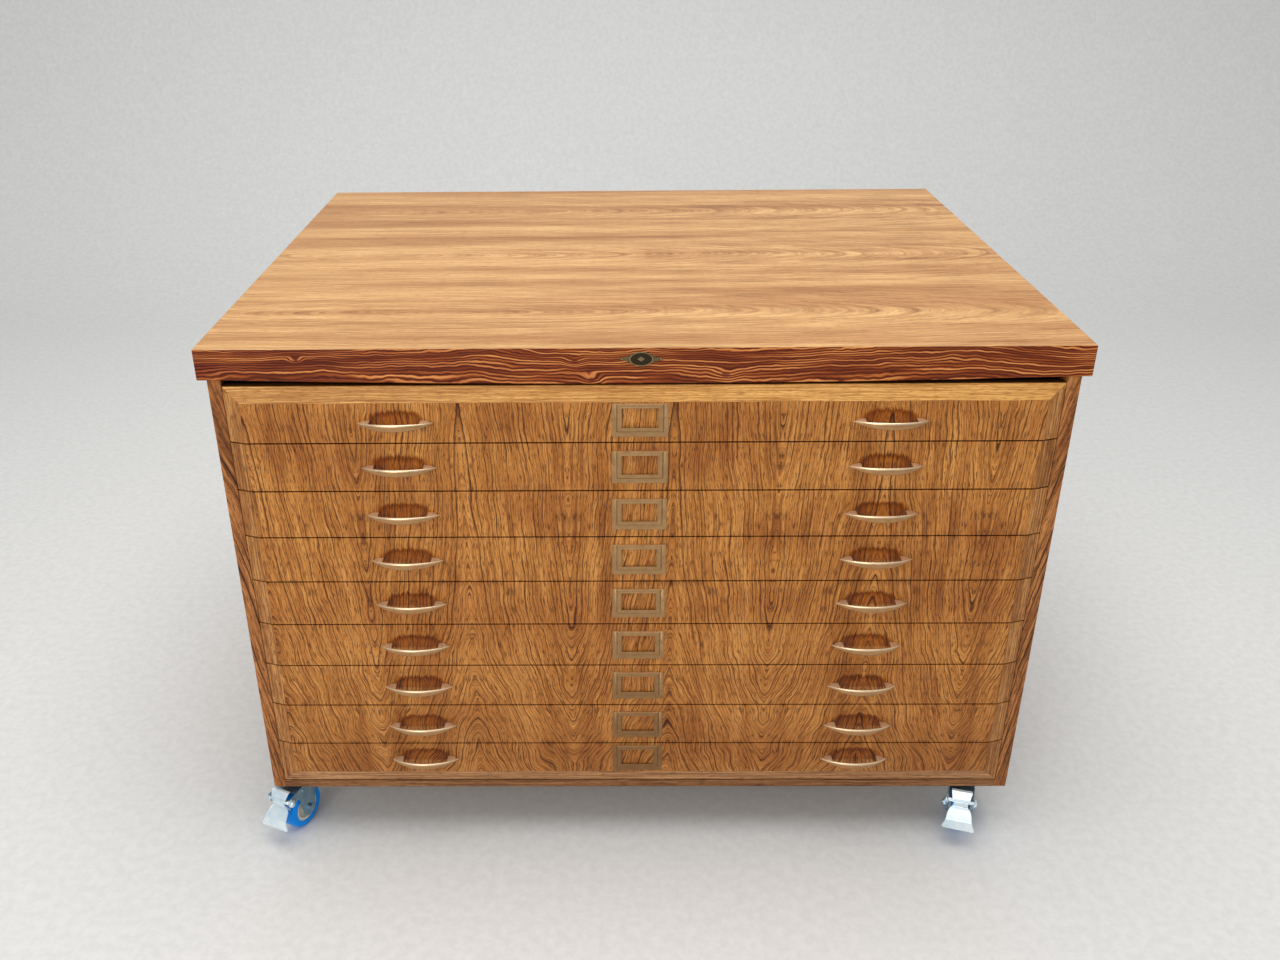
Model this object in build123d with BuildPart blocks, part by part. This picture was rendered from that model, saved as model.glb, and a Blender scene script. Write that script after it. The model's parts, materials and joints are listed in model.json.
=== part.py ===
"""Flat file cabinet on casters: nine shallow plan drawers in a wooden case under a thick top.

Millimetres. +X is the cabinet's right as seen from the front, +Y is towards its back and +Z is up.
The origin is on the floor, under the middle of the cabinet.
"""
import os
from math import sqrt

from build123d import *

# ---- case and top ----
case_width = 1219.2              # 48 in
case_height = 732.0
board_thickness = 19.0
back_thickness = 6.0
caster_height = 104.0            # floor to the underside of the case
face_y = -461.0                  # plane of the drawer faces
case_setback = 8.0               # the case front lies this far behind the drawer faces
case_depth = 938.0
top_width = 1246.0
top_thickness = 46.0
top_setback = 6.5                # the front edge of the top, behind the drawer faces
top_depth = 953.5
edging_thickness = 18.0
edging_sag = 7.5                 # the edging's lower edge hangs this much lower in the middle
bottom_rail_height = 14.0
bottom_rail_depth = 22.0
top_rail_height = 18.0
top_rail_setback = 35.0
top_rail_depth = 40.0

# ---- drawers ----
drawer_count = 9
drawer_pitch = 77.0
lowest_cell_height = 21.0        # bottom of the lowest drawer's cell, above the underside of the case
front_gap = 2.2                  # between neighbouring drawer fronts
front_side_gap = 0.8             # between a drawer front and the case side
front_thickness = 22.0
fronts_low = 16.5                # lower edge of the lowest front, above the underside of the case
fronts_high = 722.0              # upper edge of the highest front
bevel_width = 23.0
bevel_depth = 7.5
box_lift = 16.0                  # box underside above the bottom of its cell
box_height = 54.0
box_length = 860.0
box_side_gap = 2.6               # between the box and the case side
box_board = 12.0
drawer_bottom_thickness = 5.0
drawer_bottom_lift = 6.0         # drawer bottom above the underside of the box
groove_depth = 5.0

# ---- runners ----
runner_width = 20.0
runner_height = 14.0
runner_front_setback = 30.0
runner_length = 880.0
runner_slip = 0.5                # clearance under the drawer box

# ---- bow pulls ----
pull_length = 108.0
pull_spacing = 697.0
pull_lift = 3.0                  # above the middle of the drawer's flat face
pull_standoff = 28.0
pull_tip_standoff = 7.0
pull_bar_thickness = 4.5
pull_half_height = 5.5
pull_tip_half_height = 0.9
pull_foot_inner = 36.0           # from the middle of the pull to the inner side of a foot
pull_foot_outer = 46.0
screw_offset = 40.5
screw_radius = 2.0
screw_hole_radius = 2.2
screw_head_radius = 4.0
screw_head_height = 2.2

# ---- label frames ----
label_width = 80.0
label_height = 51.0
label_x = -3.0                   # the frames are nailed on slightly left of the middle
top_label_rise = 3.5             # the highest drawer has its frame nailed on above the middle of its front
label_plate_thickness = 1.0
label_raised_width = 68.0
label_raised_low = 7.0           # lower edge of the raised part, above the frame's lower edge
label_raised_depth = 3.2
label_skin = 1.0
label_window_width = 52.0
label_window_height = 30.0
label_window_drop = 6.5          # from the frame's upper edge to the window
label_slope = 2.0
pin_radius = 1.7
pin_spacing = 72.0
pin_dome = 1.0

# ---- nameplate ----
nameplate_width = 60.0
nameplate_x = -2.0
nameplate_rise = 6.5             # above the middle of the top's edge
nameplate_oval_width = 33.0
nameplate_oval_height = 20.5
nameplate_thickness = 2.2
nameplate_rim = 1.6
nameplate_recess = 0.9
nameplate_wing_root = 6.0
nameplate_tip = 1.6
nameplate_pin_radius = 1.3
nameplate_pin_height = 0.8

# ---- casters: each is drawn with its swivel axis on the origin and its wheel trailing towards -Y ----
left_swivel_x = -568.0
right_swivel_x = 558.0
swivel_inset = 69.0              # swivel axis behind the drawer faces, and as far in from the case back
front_left_turn = 25.0           # degrees, turned from straight forward towards -X
front_right_turn = 17.0
rear_left_turn = 21.0
rear_right_turn = 14.0
plate_width = 65.0
plate_length = 92.0
plate_thickness = 3.0
plate_corner = 6.0
plate_hole_spacing_x = 49.0
plate_hole_spacing_y = 76.0
caster_screw_head_radius = 5.5
caster_screw_head_height = 3.5
race_radius = 26.0
race_low = 93.5
race_rounding = 2.0
kingpin_radius = 6.0
kingpin_recess = 1.0             # the king pin ends this far under the case
running_clearance = 0.05
wheel_radius = 37.5
wheel_trail = 32.0
tyre_half_width = 14.0
tyre_crown = 5.0
hub_radius = 25.5
hub_rim_half_width = 12.5
hub_rim_inner = 20.5
hub_web_half_width = 6.5
hub_boss_radius = 9.5
hub_boss_half_width = 17.0
hub_draft = 1.5                  # how much the web's hollow narrows towards its floor
axle_radius = 4.0
axle_hole_slack = 0.1
nut_across_flats = 13.0
nut_thickness = 4.5
axle_overhang = 2.0              # bolt thread that shows beyond the nut

# ---- caster fork ----
fork_top = 92.0
fork_sheet = 2.5
fork_inner = 17.5                # half the gap between the legs
fork_back_y = 26.0
crown_front_y = -52.0            # the crown ends here, and arms for the brake run on
leg_boss_radius = 14.0
leg_rear_y = -14.0               # rear edge of the leg, half way up
leg_rear_z = 66.0
leg_front_y = -50.0              # front edge of the leg, half way up
leg_front_z = 58.0
arch_y = -55.0                   # where the leg's front edge turns into the arm
arch_z = 74.0
leg_rounding = 4.0
lower_race_radius = 19.5
lower_race_height = 1.1
pivot_y = -74.0
pivot_z = 80.0
pivot_lug_radius = 6.5
pivot_pin_radius = 3.0
rivet_head_radius = 5.5
rivet_head_height = 3.0
dimple_y = -43.0                 # small stud on the outside of each fork side
dimple_z = 83.0
dimple_radius = 3.0
dimple_height = 1.2

# ---- brake pedal ----
pedal_sheet = 2.5
ear_gap = 0.5                    # between a yoke ear and the fork arm
ear_radius = 6.5
ear_low_z = 75.0
bridge_y = -81.5                 # inner side of the yoke's bridge
bridge_low = 80.0
bridge_high = 91.0
pan_start_y = -77.0
pan_start_z = 71.5
pan_end_y = -95.0
pan_end_z = 56.0
lip_end_y = -99.0
lip_end_z = 40.5
shoe_end_y = -68.2               # the brake shoe turns back from the pan's upper edge, towards the tyre
shoe_end_z = 57.6
neck_half_width = 11.0
shoulder_half_width = 18.0
shoulder_drop = 6.0
pan_half_width = 21.0
lip_half_width = 26.0
lip_corner = 6.0
tab_top_y = -73.0
tab_top_z = 100.5
tab_half_width = 16.5

# ---- worked out from the values above ----
case_bottom_z = caster_height
case_top_z = caster_height + case_height
case_half = case_width / 2
bay_half = case_half - board_thickness
case_front_y = face_y + case_setback
case_back_y = case_front_y + case_depth
bay_back_y = case_back_y - back_thickness
top_front_y = face_y + top_setback
top_z = case_top_z + top_thickness
front_half = bay_half - front_side_gap
field_half = front_half - bevel_width
front_back_y = face_y + front_thickness
box_half = bay_half - box_side_gap
leg_outer = fork_inner + fork_sheet
ear_inner = leg_outer + ear_gap
ear_outer = ear_inner + pedal_sheet


def save(part, name):
    """Label a finished piece and write it as parts/name.step."""
    part.label = name
    export_step(part, f"parts/{name}.step")


def group(*parts):
    """Gather pieces that touch, each kept as its own solid."""
    return Compound([solid for part in parts for solid in part.solids()])


def board(x, y, z, mode=Mode.ADD):
    """Straight board in the open BuildPart, given its low and high value along each axis."""
    centre = ((x[0] + x[1]) / 2, (y[0] + y[1]) / 2, (z[0] + z[1]) / 2)
    with Locations(centre):
        Box(x[1] - x[0], y[1] - y[0], z[1] - z[0], mode=mode)


def facing_front(x, y, z):
    """Plane at a point of the front, with its normal towards the person at the cabinet."""
    return Plane(origin=(x, y, z), x_dir=(1, 0, 0), z_dir=(0, -1, 0))


def cell_floor(number):
    """Bottom of a drawer's cell. Drawer 1 is the highest."""
    return case_bottom_z + lowest_cell_height + (drawer_count - number) * drawer_pitch


def front_span(number):
    """Lower and upper edge of a drawer front."""
    low = cell_floor(number) + front_gap / 2
    high = cell_floor(number) + drawer_pitch - front_gap / 2
    if number == drawer_count:
        low = case_bottom_z + fronts_low
    if number == 1:
        high = case_bottom_z + fronts_high
    return low, high


def face_middle(number):
    """Height of the middle of the flat part of a drawer front, where the label frame is."""
    low, high = front_span(number)
    if number == drawer_count:
        low += bevel_width
    if number == 1:
        high -= bevel_width
    return (low + high) / 2


# ---------------------------------------------------------------- case and top

def make_case():
    side_y = (case_front_y, case_back_y)
    case_z = (case_bottom_z, case_top_z)

    with BuildPart() as left_side:
        board((-case_half, -bay_half), side_y, case_z)
    save(left_side.part, "case_left_side")

    with BuildPart() as right_side:
        board((bay_half, case_half), side_y, case_z)
    save(right_side.part, "case_right_side")

    with BuildPart() as back:
        board((-bay_half, bay_half), (bay_back_y, case_back_y), case_z)
    save(back.part, "case_back")

    bay_x = (-bay_half, bay_half)
    rail_back_y = case_front_y + bottom_rail_depth
    with BuildPart() as bottom:
        board(bay_x, (rail_back_y, bay_back_y), (case_bottom_z, case_bottom_z + board_thickness))
    save(bottom.part, "case_bottom")

    top_rail_y = face_y + top_rail_setback
    bottom_rail_z = (case_bottom_z, case_bottom_z + bottom_rail_height)
    top_rail_z = (case_top_z - top_rail_height, case_top_z)
    with BuildPart() as rails:
        board(bay_x, (case_front_y, rail_back_y), bottom_rail_z)
        board(bay_x, (top_rail_y, top_rail_y + top_rail_depth), top_rail_z)
    save(rails.part, "case_front_rails")


def make_top():
    edging_back_y = top_front_y + edging_thickness
    top_x = (-top_width / 2, top_width / 2)

    with BuildPart() as panel:
        board(top_x, (edging_back_y, top_front_y + top_depth), (case_top_z, top_z))
    save(panel.part, "top_panel")

    # the lower edge is straight over the case sides and bows down between them
    with BuildPart() as edging:
        with BuildSketch(facing_front(0, edging_back_y, 0)):
            with BuildLine():
                Polyline(
                    (bay_half, case_top_z), (top_x[1], case_top_z), (top_x[1], top_z),
                    (top_x[0], top_z), (top_x[0], case_top_z), (-bay_half, case_top_z),
                )
                ThreePointArc((-bay_half, case_top_z), (0, case_top_z - edging_sag), (bay_half, case_top_z))
            make_face()
        extrude(amount=edging_thickness)
    save(edging.part, "top_edging")


def make_runners():
    """One strip on each side of every cell. The drawer boxes slide on them."""
    start_y = face_y + runner_front_setback
    with BuildPart() as runners:
        for number in range(1, drawer_count + 1):
            high = cell_floor(number) + box_lift - runner_slip
            span_z = (high - runner_height, high)
            span_y = (start_y, start_y + runner_length)
            board((bay_half - runner_width, bay_half), span_y, span_z)
            board((-bay_half, runner_width - bay_half), span_y, span_z)
    save(runners.part, "drawer_runners")


def make_nameplate():
    """Cast medallion: an oval with a sunk field between two pointed wings, held by two pins."""
    middle = facing_front(nameplate_x, top_front_y, case_top_z + top_thickness / 2 + nameplate_rise)
    wing_end = nameplate_width / 2
    oval_x = nameplate_oval_width / 2
    oval_y = nameplate_oval_height / 2

    with BuildPart() as plate:
        with BuildSketch(middle):
            Ellipse(oval_x, oval_y)
            with BuildLine():
                Polyline(
                    (-wing_end, nameplate_tip), (0, nameplate_wing_root), (wing_end, nameplate_tip),
                    (wing_end, -nameplate_tip), (0, -nameplate_wing_root), (-wing_end, -nameplate_tip),
                    close=True,
                )
            make_face()
        extrude(amount=nameplate_thickness)
        with BuildSketch(middle.offset(nameplate_thickness)):
            Ellipse(oval_x - nameplate_rim, oval_y - nameplate_rim)
        extrude(amount=-nameplate_recess, mode=Mode.SUBTRACT)
        # a plain lozenge stands in the sunk field
        with BuildSketch(middle.offset(nameplate_thickness - nameplate_recess)):
            with BuildLine():
                Polyline((-oval_x / 2, 0), (0, oval_y / 2), (oval_x / 2, 0), (0, -oval_y / 2), close=True)
            make_face()
        extrude(amount=nameplate_recess / 2)

    with BuildPart() as pins:
        with BuildSketch(middle.offset(nameplate_thickness)):
            with GridLocations(2 * (wing_end - 2 * nameplate_tip), 0, 2, 1):
                Circle(nameplate_pin_radius)
        extrude(amount=nameplate_pin_height)
    save(group(plate.part, pins.part), "nameplate")


# ---------------------------------------------------------------- drawers

def mitre(side, corner_z, upwards):
    """Plane of the 45 degree joint between a side lipping and the one along the top or bottom.

    Its normal points to the side lipping.
    """
    return Plane(origin=(side * front_half, 0, corner_z), z_dir=(side, 0, -upwards))


def pull_screw_circles(radius):
    """Circles for the four pull screws, in the open sketch."""
    with GridLocations(pull_spacing, 0, 2, 1):
        with GridLocations(2 * screw_offset, 0, 2, 1):
            Circle(radius)


def make_drawer_front(number):
    """Front board with bevelled lippings round the outside of the whole bank of drawers."""
    low, high = front_span(number)
    is_highest = number == 1
    is_lowest = number == drawer_count
    field_low = low + bevel_width if is_lowest else low
    field_high = high - bevel_width if is_highest else high
    pull_z = face_middle(number) + pull_lift

    with BuildPart() as field:
        board((-field_half, field_half), (face_y, front_back_y), (field_low, field_high))
        with BuildSketch(facing_front(0, front_back_y, pull_z)):
            pull_screw_circles(screw_hole_radius)
        extrude(amount=front_thickness, mode=Mode.SUBTRACT)

    with BuildPart() as side_lippings:
        with BuildSketch(Plane.XY.offset(low)):
            with BuildLine():
                Polyline(
                    (field_half, face_y), (front_half, face_y + bevel_depth),
                    (front_half, front_back_y), (field_half, front_back_y), close=True,
                )
            make_face()
        extrude(amount=high - low)
        if is_highest:
            split(bisect_by=mitre(1, high, 1), keep=Keep.TOP)
        if is_lowest:
            split(bisect_by=mitre(1, low, -1), keep=Keep.TOP)
        mirror(about=Plane.YZ)

    pieces = [field.part, side_lippings.part]
    if is_highest or is_lowest:
        edge_z = high if is_highest else low
        upwards = 1 if is_highest else -1
        with BuildPart() as long_lipping:
            with BuildSketch(Plane.YZ.offset(-front_half)):
                with BuildLine():
                    Polyline(
                        (face_y, edge_z - upwards * bevel_width), (face_y + bevel_depth, edge_z),
                        (front_back_y, edge_z), (front_back_y, edge_z - upwards * bevel_width), close=True,
                    )
                make_face()
            extrude(amount=2 * front_half)
            split(bisect_by=mitre(1, edge_z, upwards), keep=Keep.BOTTOM)
            split(bisect_by=mitre(-1, edge_z, upwards), keep=Keep.BOTTOM)
        pieces.append(long_lipping.part)
    save(group(*pieces), f"drawer_{number}_front")


def make_drawer_box(number):
    """Two sides, a back and a bottom panel that sits in grooves. The front board closes the box."""
    low = cell_floor(number) + box_lift
    box_z = (low, low + box_height)
    box_y = (front_back_y, front_back_y + box_length)
    inner_half = box_half - box_board
    back_y = box_y[1] - box_board
    panel_z = (low + drawer_bottom_lift, low + drawer_bottom_lift + drawer_bottom_thickness)
    panel_x = (-inner_half - groove_depth, inner_half + groove_depth)

    with BuildPart() as sides:
        board((inner_half, box_half), box_y, box_z)
        board((-box_half, -inner_half), box_y, box_z)
        board(panel_x, box_y, panel_z, mode=Mode.SUBTRACT)

    with BuildPart() as back:
        board((-inner_half, inner_half), (back_y, box_y[1]), (panel_z[1], box_z[1]))

    with BuildPart() as panel:
        board(panel_x, box_y, panel_z)
    save(group(sides.part, back.part, panel.part), f"drawer_{number}_box")


def make_pull_pair(number):
    """Two bow pulls with pointed tips, each held by two screws from inside the drawer."""
    middle_z = face_middle(number) + pull_lift
    half = pull_length / 2
    bow = pull_standoff - pull_tip_standoff
    outer_radius = (half ** 2 + bow ** 2) / (2 * bow)
    inner_radius = outer_radius - pull_bar_thickness
    centre_y = outer_radius - pull_standoff
    inner_y = centre_y - sqrt(inner_radius ** 2 - pull_foot_inner ** 2)

    tip_low = (half, -pull_tip_half_height)
    tip_high = (half, pull_tip_half_height)
    far_tip_low = (-half, -pull_tip_half_height)
    far_tip_high = (-half, pull_tip_half_height)

    with BuildPart() as bar:
        # seen from above: a bow on two feet
        with BuildSketch(Plane((0, face_y, middle_z))):
            with BuildLine():
                ThreePointArc((-half, -pull_tip_standoff), (0, -pull_standoff), (half, -pull_tip_standoff))
                Polyline(
                    (half, -pull_tip_standoff), (pull_foot_outer, 0),
                    (pull_foot_inner, 0), (pull_foot_inner, inner_y),
                )
                ThreePointArc(
                    (pull_foot_inner, inner_y), (0, pull_bar_thickness - pull_standoff),
                    (-pull_foot_inner, inner_y),
                )
                Polyline(
                    (-pull_foot_inner, inner_y), (-pull_foot_inner, 0),
                    (-pull_foot_outer, 0), (-half, -pull_tip_standoff),
                )
            make_face()
        extrude(amount=pull_half_height, both=True)
        # seen from the front: a lens
        with BuildSketch(facing_front(0, face_y, middle_z)):
            with BuildLine():
                ThreePointArc(far_tip_high, (0, pull_half_height), tip_high)
                Line(tip_high, tip_low)
                ThreePointArc(tip_low, (0, -pull_half_height), far_tip_low)
                Line(far_tip_low, far_tip_high)
            make_face()
        extrude(amount=pull_standoff, mode=Mode.INTERSECT)

    with BuildPart() as bars:
        with GridLocations(pull_spacing, 0, 2, 1):
            add(bar.part)

    with BuildPart() as screws:
        with BuildSketch(facing_front(0, front_back_y, middle_z)):
            pull_screw_circles(screw_radius)
        extrude(amount=front_thickness)
        with BuildSketch(facing_front(0, front_back_y, middle_z)):
            pull_screw_circles(screw_head_radius)
        extrude(amount=-screw_head_height)
    save(group(bars.part, screws.part), f"drawer_{number}_pulls")


def make_label_frame(number):
    """Stamped card holder: flat flanges with a pin each, and a raised pocket that is open at the top."""
    rise = top_label_rise if number == 1 else 0.0
    middle = facing_front(label_x, face_y, face_middle(number) + rise)
    high = label_height / 2
    window_z = high - label_window_drop - label_window_height / 2
    raised_height = label_height - label_raised_low
    raised_z = label_raised_low / 2

    with BuildPart() as frame:
        with BuildSketch(middle):
            Rectangle(label_width, label_height)
        extrude(amount=label_plate_thickness)
        with BuildSketch(middle):
            with Locations((0, raised_z)):
                Rectangle(label_raised_width, raised_height)
        extrude(amount=label_raised_depth)
        outer_rim = frame.faces().sort_by(Axis.Y)[0].edges().sort_by(Axis.Z)
        chamfer(outer_rim[:-1], length=label_slope)
        # card pocket behind the raised skin
        with BuildSketch(middle):
            with Locations((0, raised_z + label_slope)):
                Rectangle(label_raised_width - 2 * label_slope - 2 * label_skin, raised_height)
        extrude(amount=label_raised_depth - label_skin, mode=Mode.SUBTRACT)
        with BuildSketch(middle):
            with Locations((0, window_z)):
                Rectangle(label_window_width, label_window_height)
        extrude(amount=label_raised_depth, mode=Mode.SUBTRACT)

    with BuildPart() as pins:
        with BuildSketch(middle.offset(label_plate_thickness)):
            with Locations((0, window_z)):
                with GridLocations(pin_spacing + pin_radius, 0, 2, 1):
                    Circle(pin_radius)
        extrude(amount=pin_dome)
        chamfer(pins.faces().filter_by(Axis.Y).group_by(Axis.Y)[0].edges(), length=pin_dome / 2)
    save(group(frame.part, pins.part), f"drawer_{number}_label_frame")


# ---------------------------------------------------------------- casters

def make_caster_plate():
    """Mounting plate with the upper ball race, and four screws with their heads under it."""
    plate_low = caster_height - plate_thickness
    with BuildPart() as plate:
        with BuildSketch(Plane.XY.offset(plate_low)):
            RectangleRounded(plate_width, plate_length, plate_corner)
        extrude(amount=plate_thickness)
        with BuildSketch(Plane.XY.offset(race_low)):
            Circle(race_radius)
        extrude(amount=plate_low - race_low)
        fillet(plate.edges().group_by(Axis.Z)[0], radius=race_rounding)
        with BuildSketch(Plane.XY.offset(race_low)):
            Circle(kingpin_radius + running_clearance)
        extrude(amount=caster_height - race_low, mode=Mode.SUBTRACT)

    with BuildPart() as screws:
        with BuildSketch(Plane.XY.offset(plate_low - caster_screw_head_height)):
            with GridLocations(plate_hole_spacing_x, plate_hole_spacing_y, 2, 2):
                RegularPolygon(caster_screw_head_radius, 6, major_radius=False)
        extrude(amount=caster_screw_head_height)
    return [plate.part, screws.part]


def make_fork(has_brake):
    """Pressed fork with its king pin, and the axle bolt with its nuts.

    With a brake, an arm runs forward from each side to carry the pedal's pivot pin.
    """
    crown_front = [(fork_back_y, fork_top), (crown_front_y, fork_top)]
    arm = [(pivot_y, pivot_z + pivot_lug_radius), (pivot_y, pivot_z - pivot_lug_radius)] if has_brake else []
    leg = [
        (arch_y, arch_z), (leg_front_y, leg_front_z),
        (-wheel_trail - leg_boss_radius, wheel_radius), (-wheel_trail + leg_boss_radius, wheel_radius),
        (leg_rear_y, leg_rear_z), (fork_back_y, fork_top - 2 * fork_sheet),
    ]
    with BuildPart() as fork:
        with BuildSketch(Plane.YZ.offset(-leg_outer)) as side:
            with BuildLine():
                Polyline(*crown_front, *arm, *leg, close=True)
            make_face()
            with Locations((-wheel_trail, wheel_radius)):
                Circle(leg_boss_radius)
            # the sketch's own Y is the height above the floor
            bends = side.vertices().filter_by(lambda corner: leg_front_z - 1 < corner.Y < arch_z + 0.1)
            fillet(bends.filter_by(lambda corner: corner.X > pivot_y + 1), radius=leg_rounding)
            if has_brake:
                with Locations((pivot_y, pivot_z)):
                    Circle(pivot_lug_radius)
        extrude(amount=2 * leg_outer)
        board((-fork_inner, fork_inner), (-200, 200), (0, fork_top - fork_sheet), mode=Mode.SUBTRACT)
        with BuildSketch(Plane.YZ.offset(-leg_outer - dimple_height)):
            with Locations((dimple_y, dimple_z)):
                Circle(dimple_radius)
        extrude(amount=dimple_height)
        with BuildSketch(Plane.YZ.offset(leg_outer)):
            with Locations((dimple_y, dimple_z)):
                Circle(dimple_radius)
        extrude(amount=dimple_height)
        with BuildSketch(Plane.XY.offset(fork_top)):
            Circle(lower_race_radius)
        extrude(amount=lower_race_height)
        with BuildSketch(Plane.XY.offset(fork_top)):
            Circle(kingpin_radius)
        extrude(amount=caster_height - fork_top - kingpin_recess)
        with BuildSketch(Plane.YZ.offset(-leg_outer)):
            with Locations((-wheel_trail, wheel_radius)):
                Circle(axle_radius + axle_hole_slack)
            if has_brake:
                with Locations((pivot_y, pivot_z)):
                    Circle(pivot_pin_radius + running_clearance)
        extrude(amount=2 * leg_outer, mode=Mode.SUBTRACT)

    axle_half = leg_outer + nut_thickness + axle_overhang
    with BuildPart() as axle:
        with BuildSketch(Plane.YZ.offset(-axle_half)):
            with Locations((-wheel_trail, wheel_radius)):
                Circle(axle_radius)
        extrude(amount=2 * axle_half - axle_overhang)
        for nut_x in (-leg_outer - nut_thickness, leg_outer):
            with BuildSketch(Plane.YZ.offset(nut_x)):
                with Locations((-wheel_trail, wheel_radius)):
                    RegularPolygon(nut_across_flats / 2, 6, major_radius=False)
            extrude(amount=nut_thickness)
    return [fork.part, axle.part]


def wheel_profile_plane():
    """Upright plane through the axle, with the axle as its first axis."""
    return Plane(origin=(0, -wheel_trail, wheel_radius), x_dir=(1, 0, 0), z_dir=(0, -1, 0))


def wheel_axis():
    return Axis((0, -wheel_trail, wheel_radius), (1, 0, 0))


def make_tyre():
    """Crowned polyurethane tread moulded round the hub."""
    with BuildPart() as tyre:
        with BuildSketch(wheel_profile_plane()) as tread:
            with Locations((0, (wheel_radius + hub_radius) / 2)):
                Rectangle(2 * tyre_half_width, wheel_radius - hub_radius)
            # the sketch's own Y is the distance from the axle
            fillet(tread.vertices().group_by(Axis.Y)[-1], radius=tyre_crown)
        revolve(axis=wheel_axis())
    return [tyre.part]


def make_hub():
    """Moulded hub: rim, web and a long boss that turns on the axle."""
    bore = axle_radius + running_clearance
    outline = [
        (hub_boss_half_width, bore), (hub_boss_half_width, hub_boss_radius),
        (hub_web_half_width, hub_boss_radius + hub_draft), (hub_web_half_width, hub_rim_inner - hub_draft),
        (hub_rim_half_width, hub_rim_inner), (hub_rim_half_width, hub_radius),
    ]
    mirrored = [(-x, r) for x, r in reversed(outline)]
    with BuildPart() as hub:
        with BuildSketch(wheel_profile_plane()):
            with BuildLine():
                Polyline(*outline, *mirrored, close=True)
            make_face()
        revolve(axis=wheel_axis())
    return [hub.part]


def make_brake_pedal():
    """Foot pedal on a yoke that straddles the fork, with a release tab above and its pivot pin."""
    bridge_middle_y = bridge_y - pedal_sheet / 2
    half_outline = [
        (neck_half_width, tab_top_z), (neck_half_width, pan_start_z),
        (shoulder_half_width, pan_start_z - shoulder_drop), (pan_half_width, pan_end_z),
        (lip_half_width, lip_end_z + lip_corner), (lip_half_width - lip_corner, 0),
    ]
    mirrored = [(-x, z) for x, z in reversed(half_outline)]
    with BuildPart() as pedal:
        # neck, pan and folded lip, cut to their outline as seen from the front
        with BuildSketch(Plane.YZ.offset(-lip_half_width)):
            with BuildLine():
                Polyline(
                    (lip_end_y, lip_end_z), (pan_end_y, pan_end_z), (pan_start_y, pan_start_z),
                    (bridge_middle_y, bridge_low + 1),
                )
            trace(line_width=pedal_sheet)
        extrude(amount=2 * lip_half_width)
        with BuildSketch(Plane.XZ.offset(-bridge_y)):
            with BuildLine():
                Polyline(*half_outline, *mirrored, close=True)
            make_face()
        extrude(amount=2 * bridge_y, both=True, mode=Mode.INTERSECT)
        # brake shoe behind the pan
        with BuildSketch(Plane.YZ.offset(-neck_half_width)):
            with BuildLine():
                Line((pan_start_y, pan_start_z), (shoe_end_y, shoe_end_z))
            trace(line_width=pedal_sheet)
        extrude(amount=2 * neck_half_width)
        # bridge across the front of the fork
        board((-ear_outer, ear_outer), (bridge_y - pedal_sheet, bridge_y), (bridge_low, bridge_high))
        # release tab
        with BuildSketch(Plane.YZ.offset(-tab_half_width)):
            with BuildLine():
                Line((bridge_middle_y, bridge_high - 1), (tab_top_y, tab_top_z))
            trace(line_width=pedal_sheet)
        extrude(amount=2 * tab_half_width)
        # two ears beside the fork arms
        for ear_x in (-ear_outer, ear_inner):
            with BuildSketch(Plane.YZ.offset(ear_x)):
                with Locations((pivot_y, pivot_z)):
                    Circle(ear_radius)
                with BuildLine():
                    Polyline(
                        (pivot_y, ear_low_z), (pivot_y, pivot_z + ear_radius), (bridge_y, bridge_high),
                        (bridge_y - pedal_sheet, bridge_high), (bridge_y - pedal_sheet, bridge_low),
                        close=True,
                    )
                make_face()
            extrude(amount=pedal_sheet)
        with BuildSketch(Plane.YZ.offset(-ear_outer)):
            with Locations((pivot_y, pivot_z)):
                Circle(pivot_pin_radius)
        extrude(amount=2 * ear_outer, mode=Mode.SUBTRACT)

    with BuildPart() as pin:
        with BuildSketch(Plane.YZ.offset(-ear_outer)):
            with Locations((pivot_y, pivot_z)):
                Circle(pivot_pin_radius)
        extrude(amount=2 * ear_outer)
        for head_x in (-ear_outer - rivet_head_height, ear_outer):
            with BuildSketch(Plane.YZ.offset(head_x)):
                with Locations((pivot_y, pivot_z)):
                    Circle(rivet_head_radius)
            extrude(amount=rivet_head_height)
    return [pedal.part, pin.part]


def placed(parts, corner, turn):
    """Move caster pieces to a corner of the cabinet, turned about the swivel axis."""
    place = Location((corner[0], corner[1], 0), (0, 0, -turn))
    return group(*[part.moved(place) for part in parts])


def make_casters():
    front_y = face_y + swivel_inset
    rear_y = case_back_y - swivel_inset
    corners = {
        "front_left": ((left_swivel_x, front_y), front_left_turn),
        "front_right": ((right_swivel_x, front_y), front_right_turn),
        "rear_left": ((left_swivel_x, rear_y), rear_left_turn),
        "rear_right": ((right_swivel_x, rear_y), rear_right_turn),
    }
    plate = make_caster_plate()
    braked_fork = make_fork(True)
    plain_fork = make_fork(False)
    tyre = make_tyre()
    hub = make_hub()
    pedal = make_brake_pedal()

    plates = [placed(plate, corner, 0) for corner, turn in corners.values()]
    save(group(*plates), "caster_plates")
    for name, (corner, turn) in corners.items():
        has_brake = name.startswith("front")
        fork = braked_fork if has_brake else plain_fork
        save(placed(fork, corner, turn), f"caster_fork_{name}")
        save(placed(tyre, corner, turn), f"caster_tyre_{name}")
        save(placed(hub, corner, turn), f"caster_hub_{name}")
        if has_brake:
            save(placed(pedal, corner, turn), f"brake_pedal_{name}")


os.makedirs("parts", exist_ok=True)
make_case()
make_top()
make_runners()
make_nameplate()
for drawer_number in range(1, drawer_count + 1):
    make_drawer_front(drawer_number)
    make_drawer_box(drawer_number)
    make_pull_pair(drawer_number)
    make_label_frame(drawer_number)
make_casters()
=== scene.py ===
"""Looks of the flat file cabinet: wood, metal and plastic finishes, detailed hardware, camera and light.

Everything is in metres, in the CAD model's frame: +X right, +Y to the back, +Z up, origin on the floor.
"""
import json
import math

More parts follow.
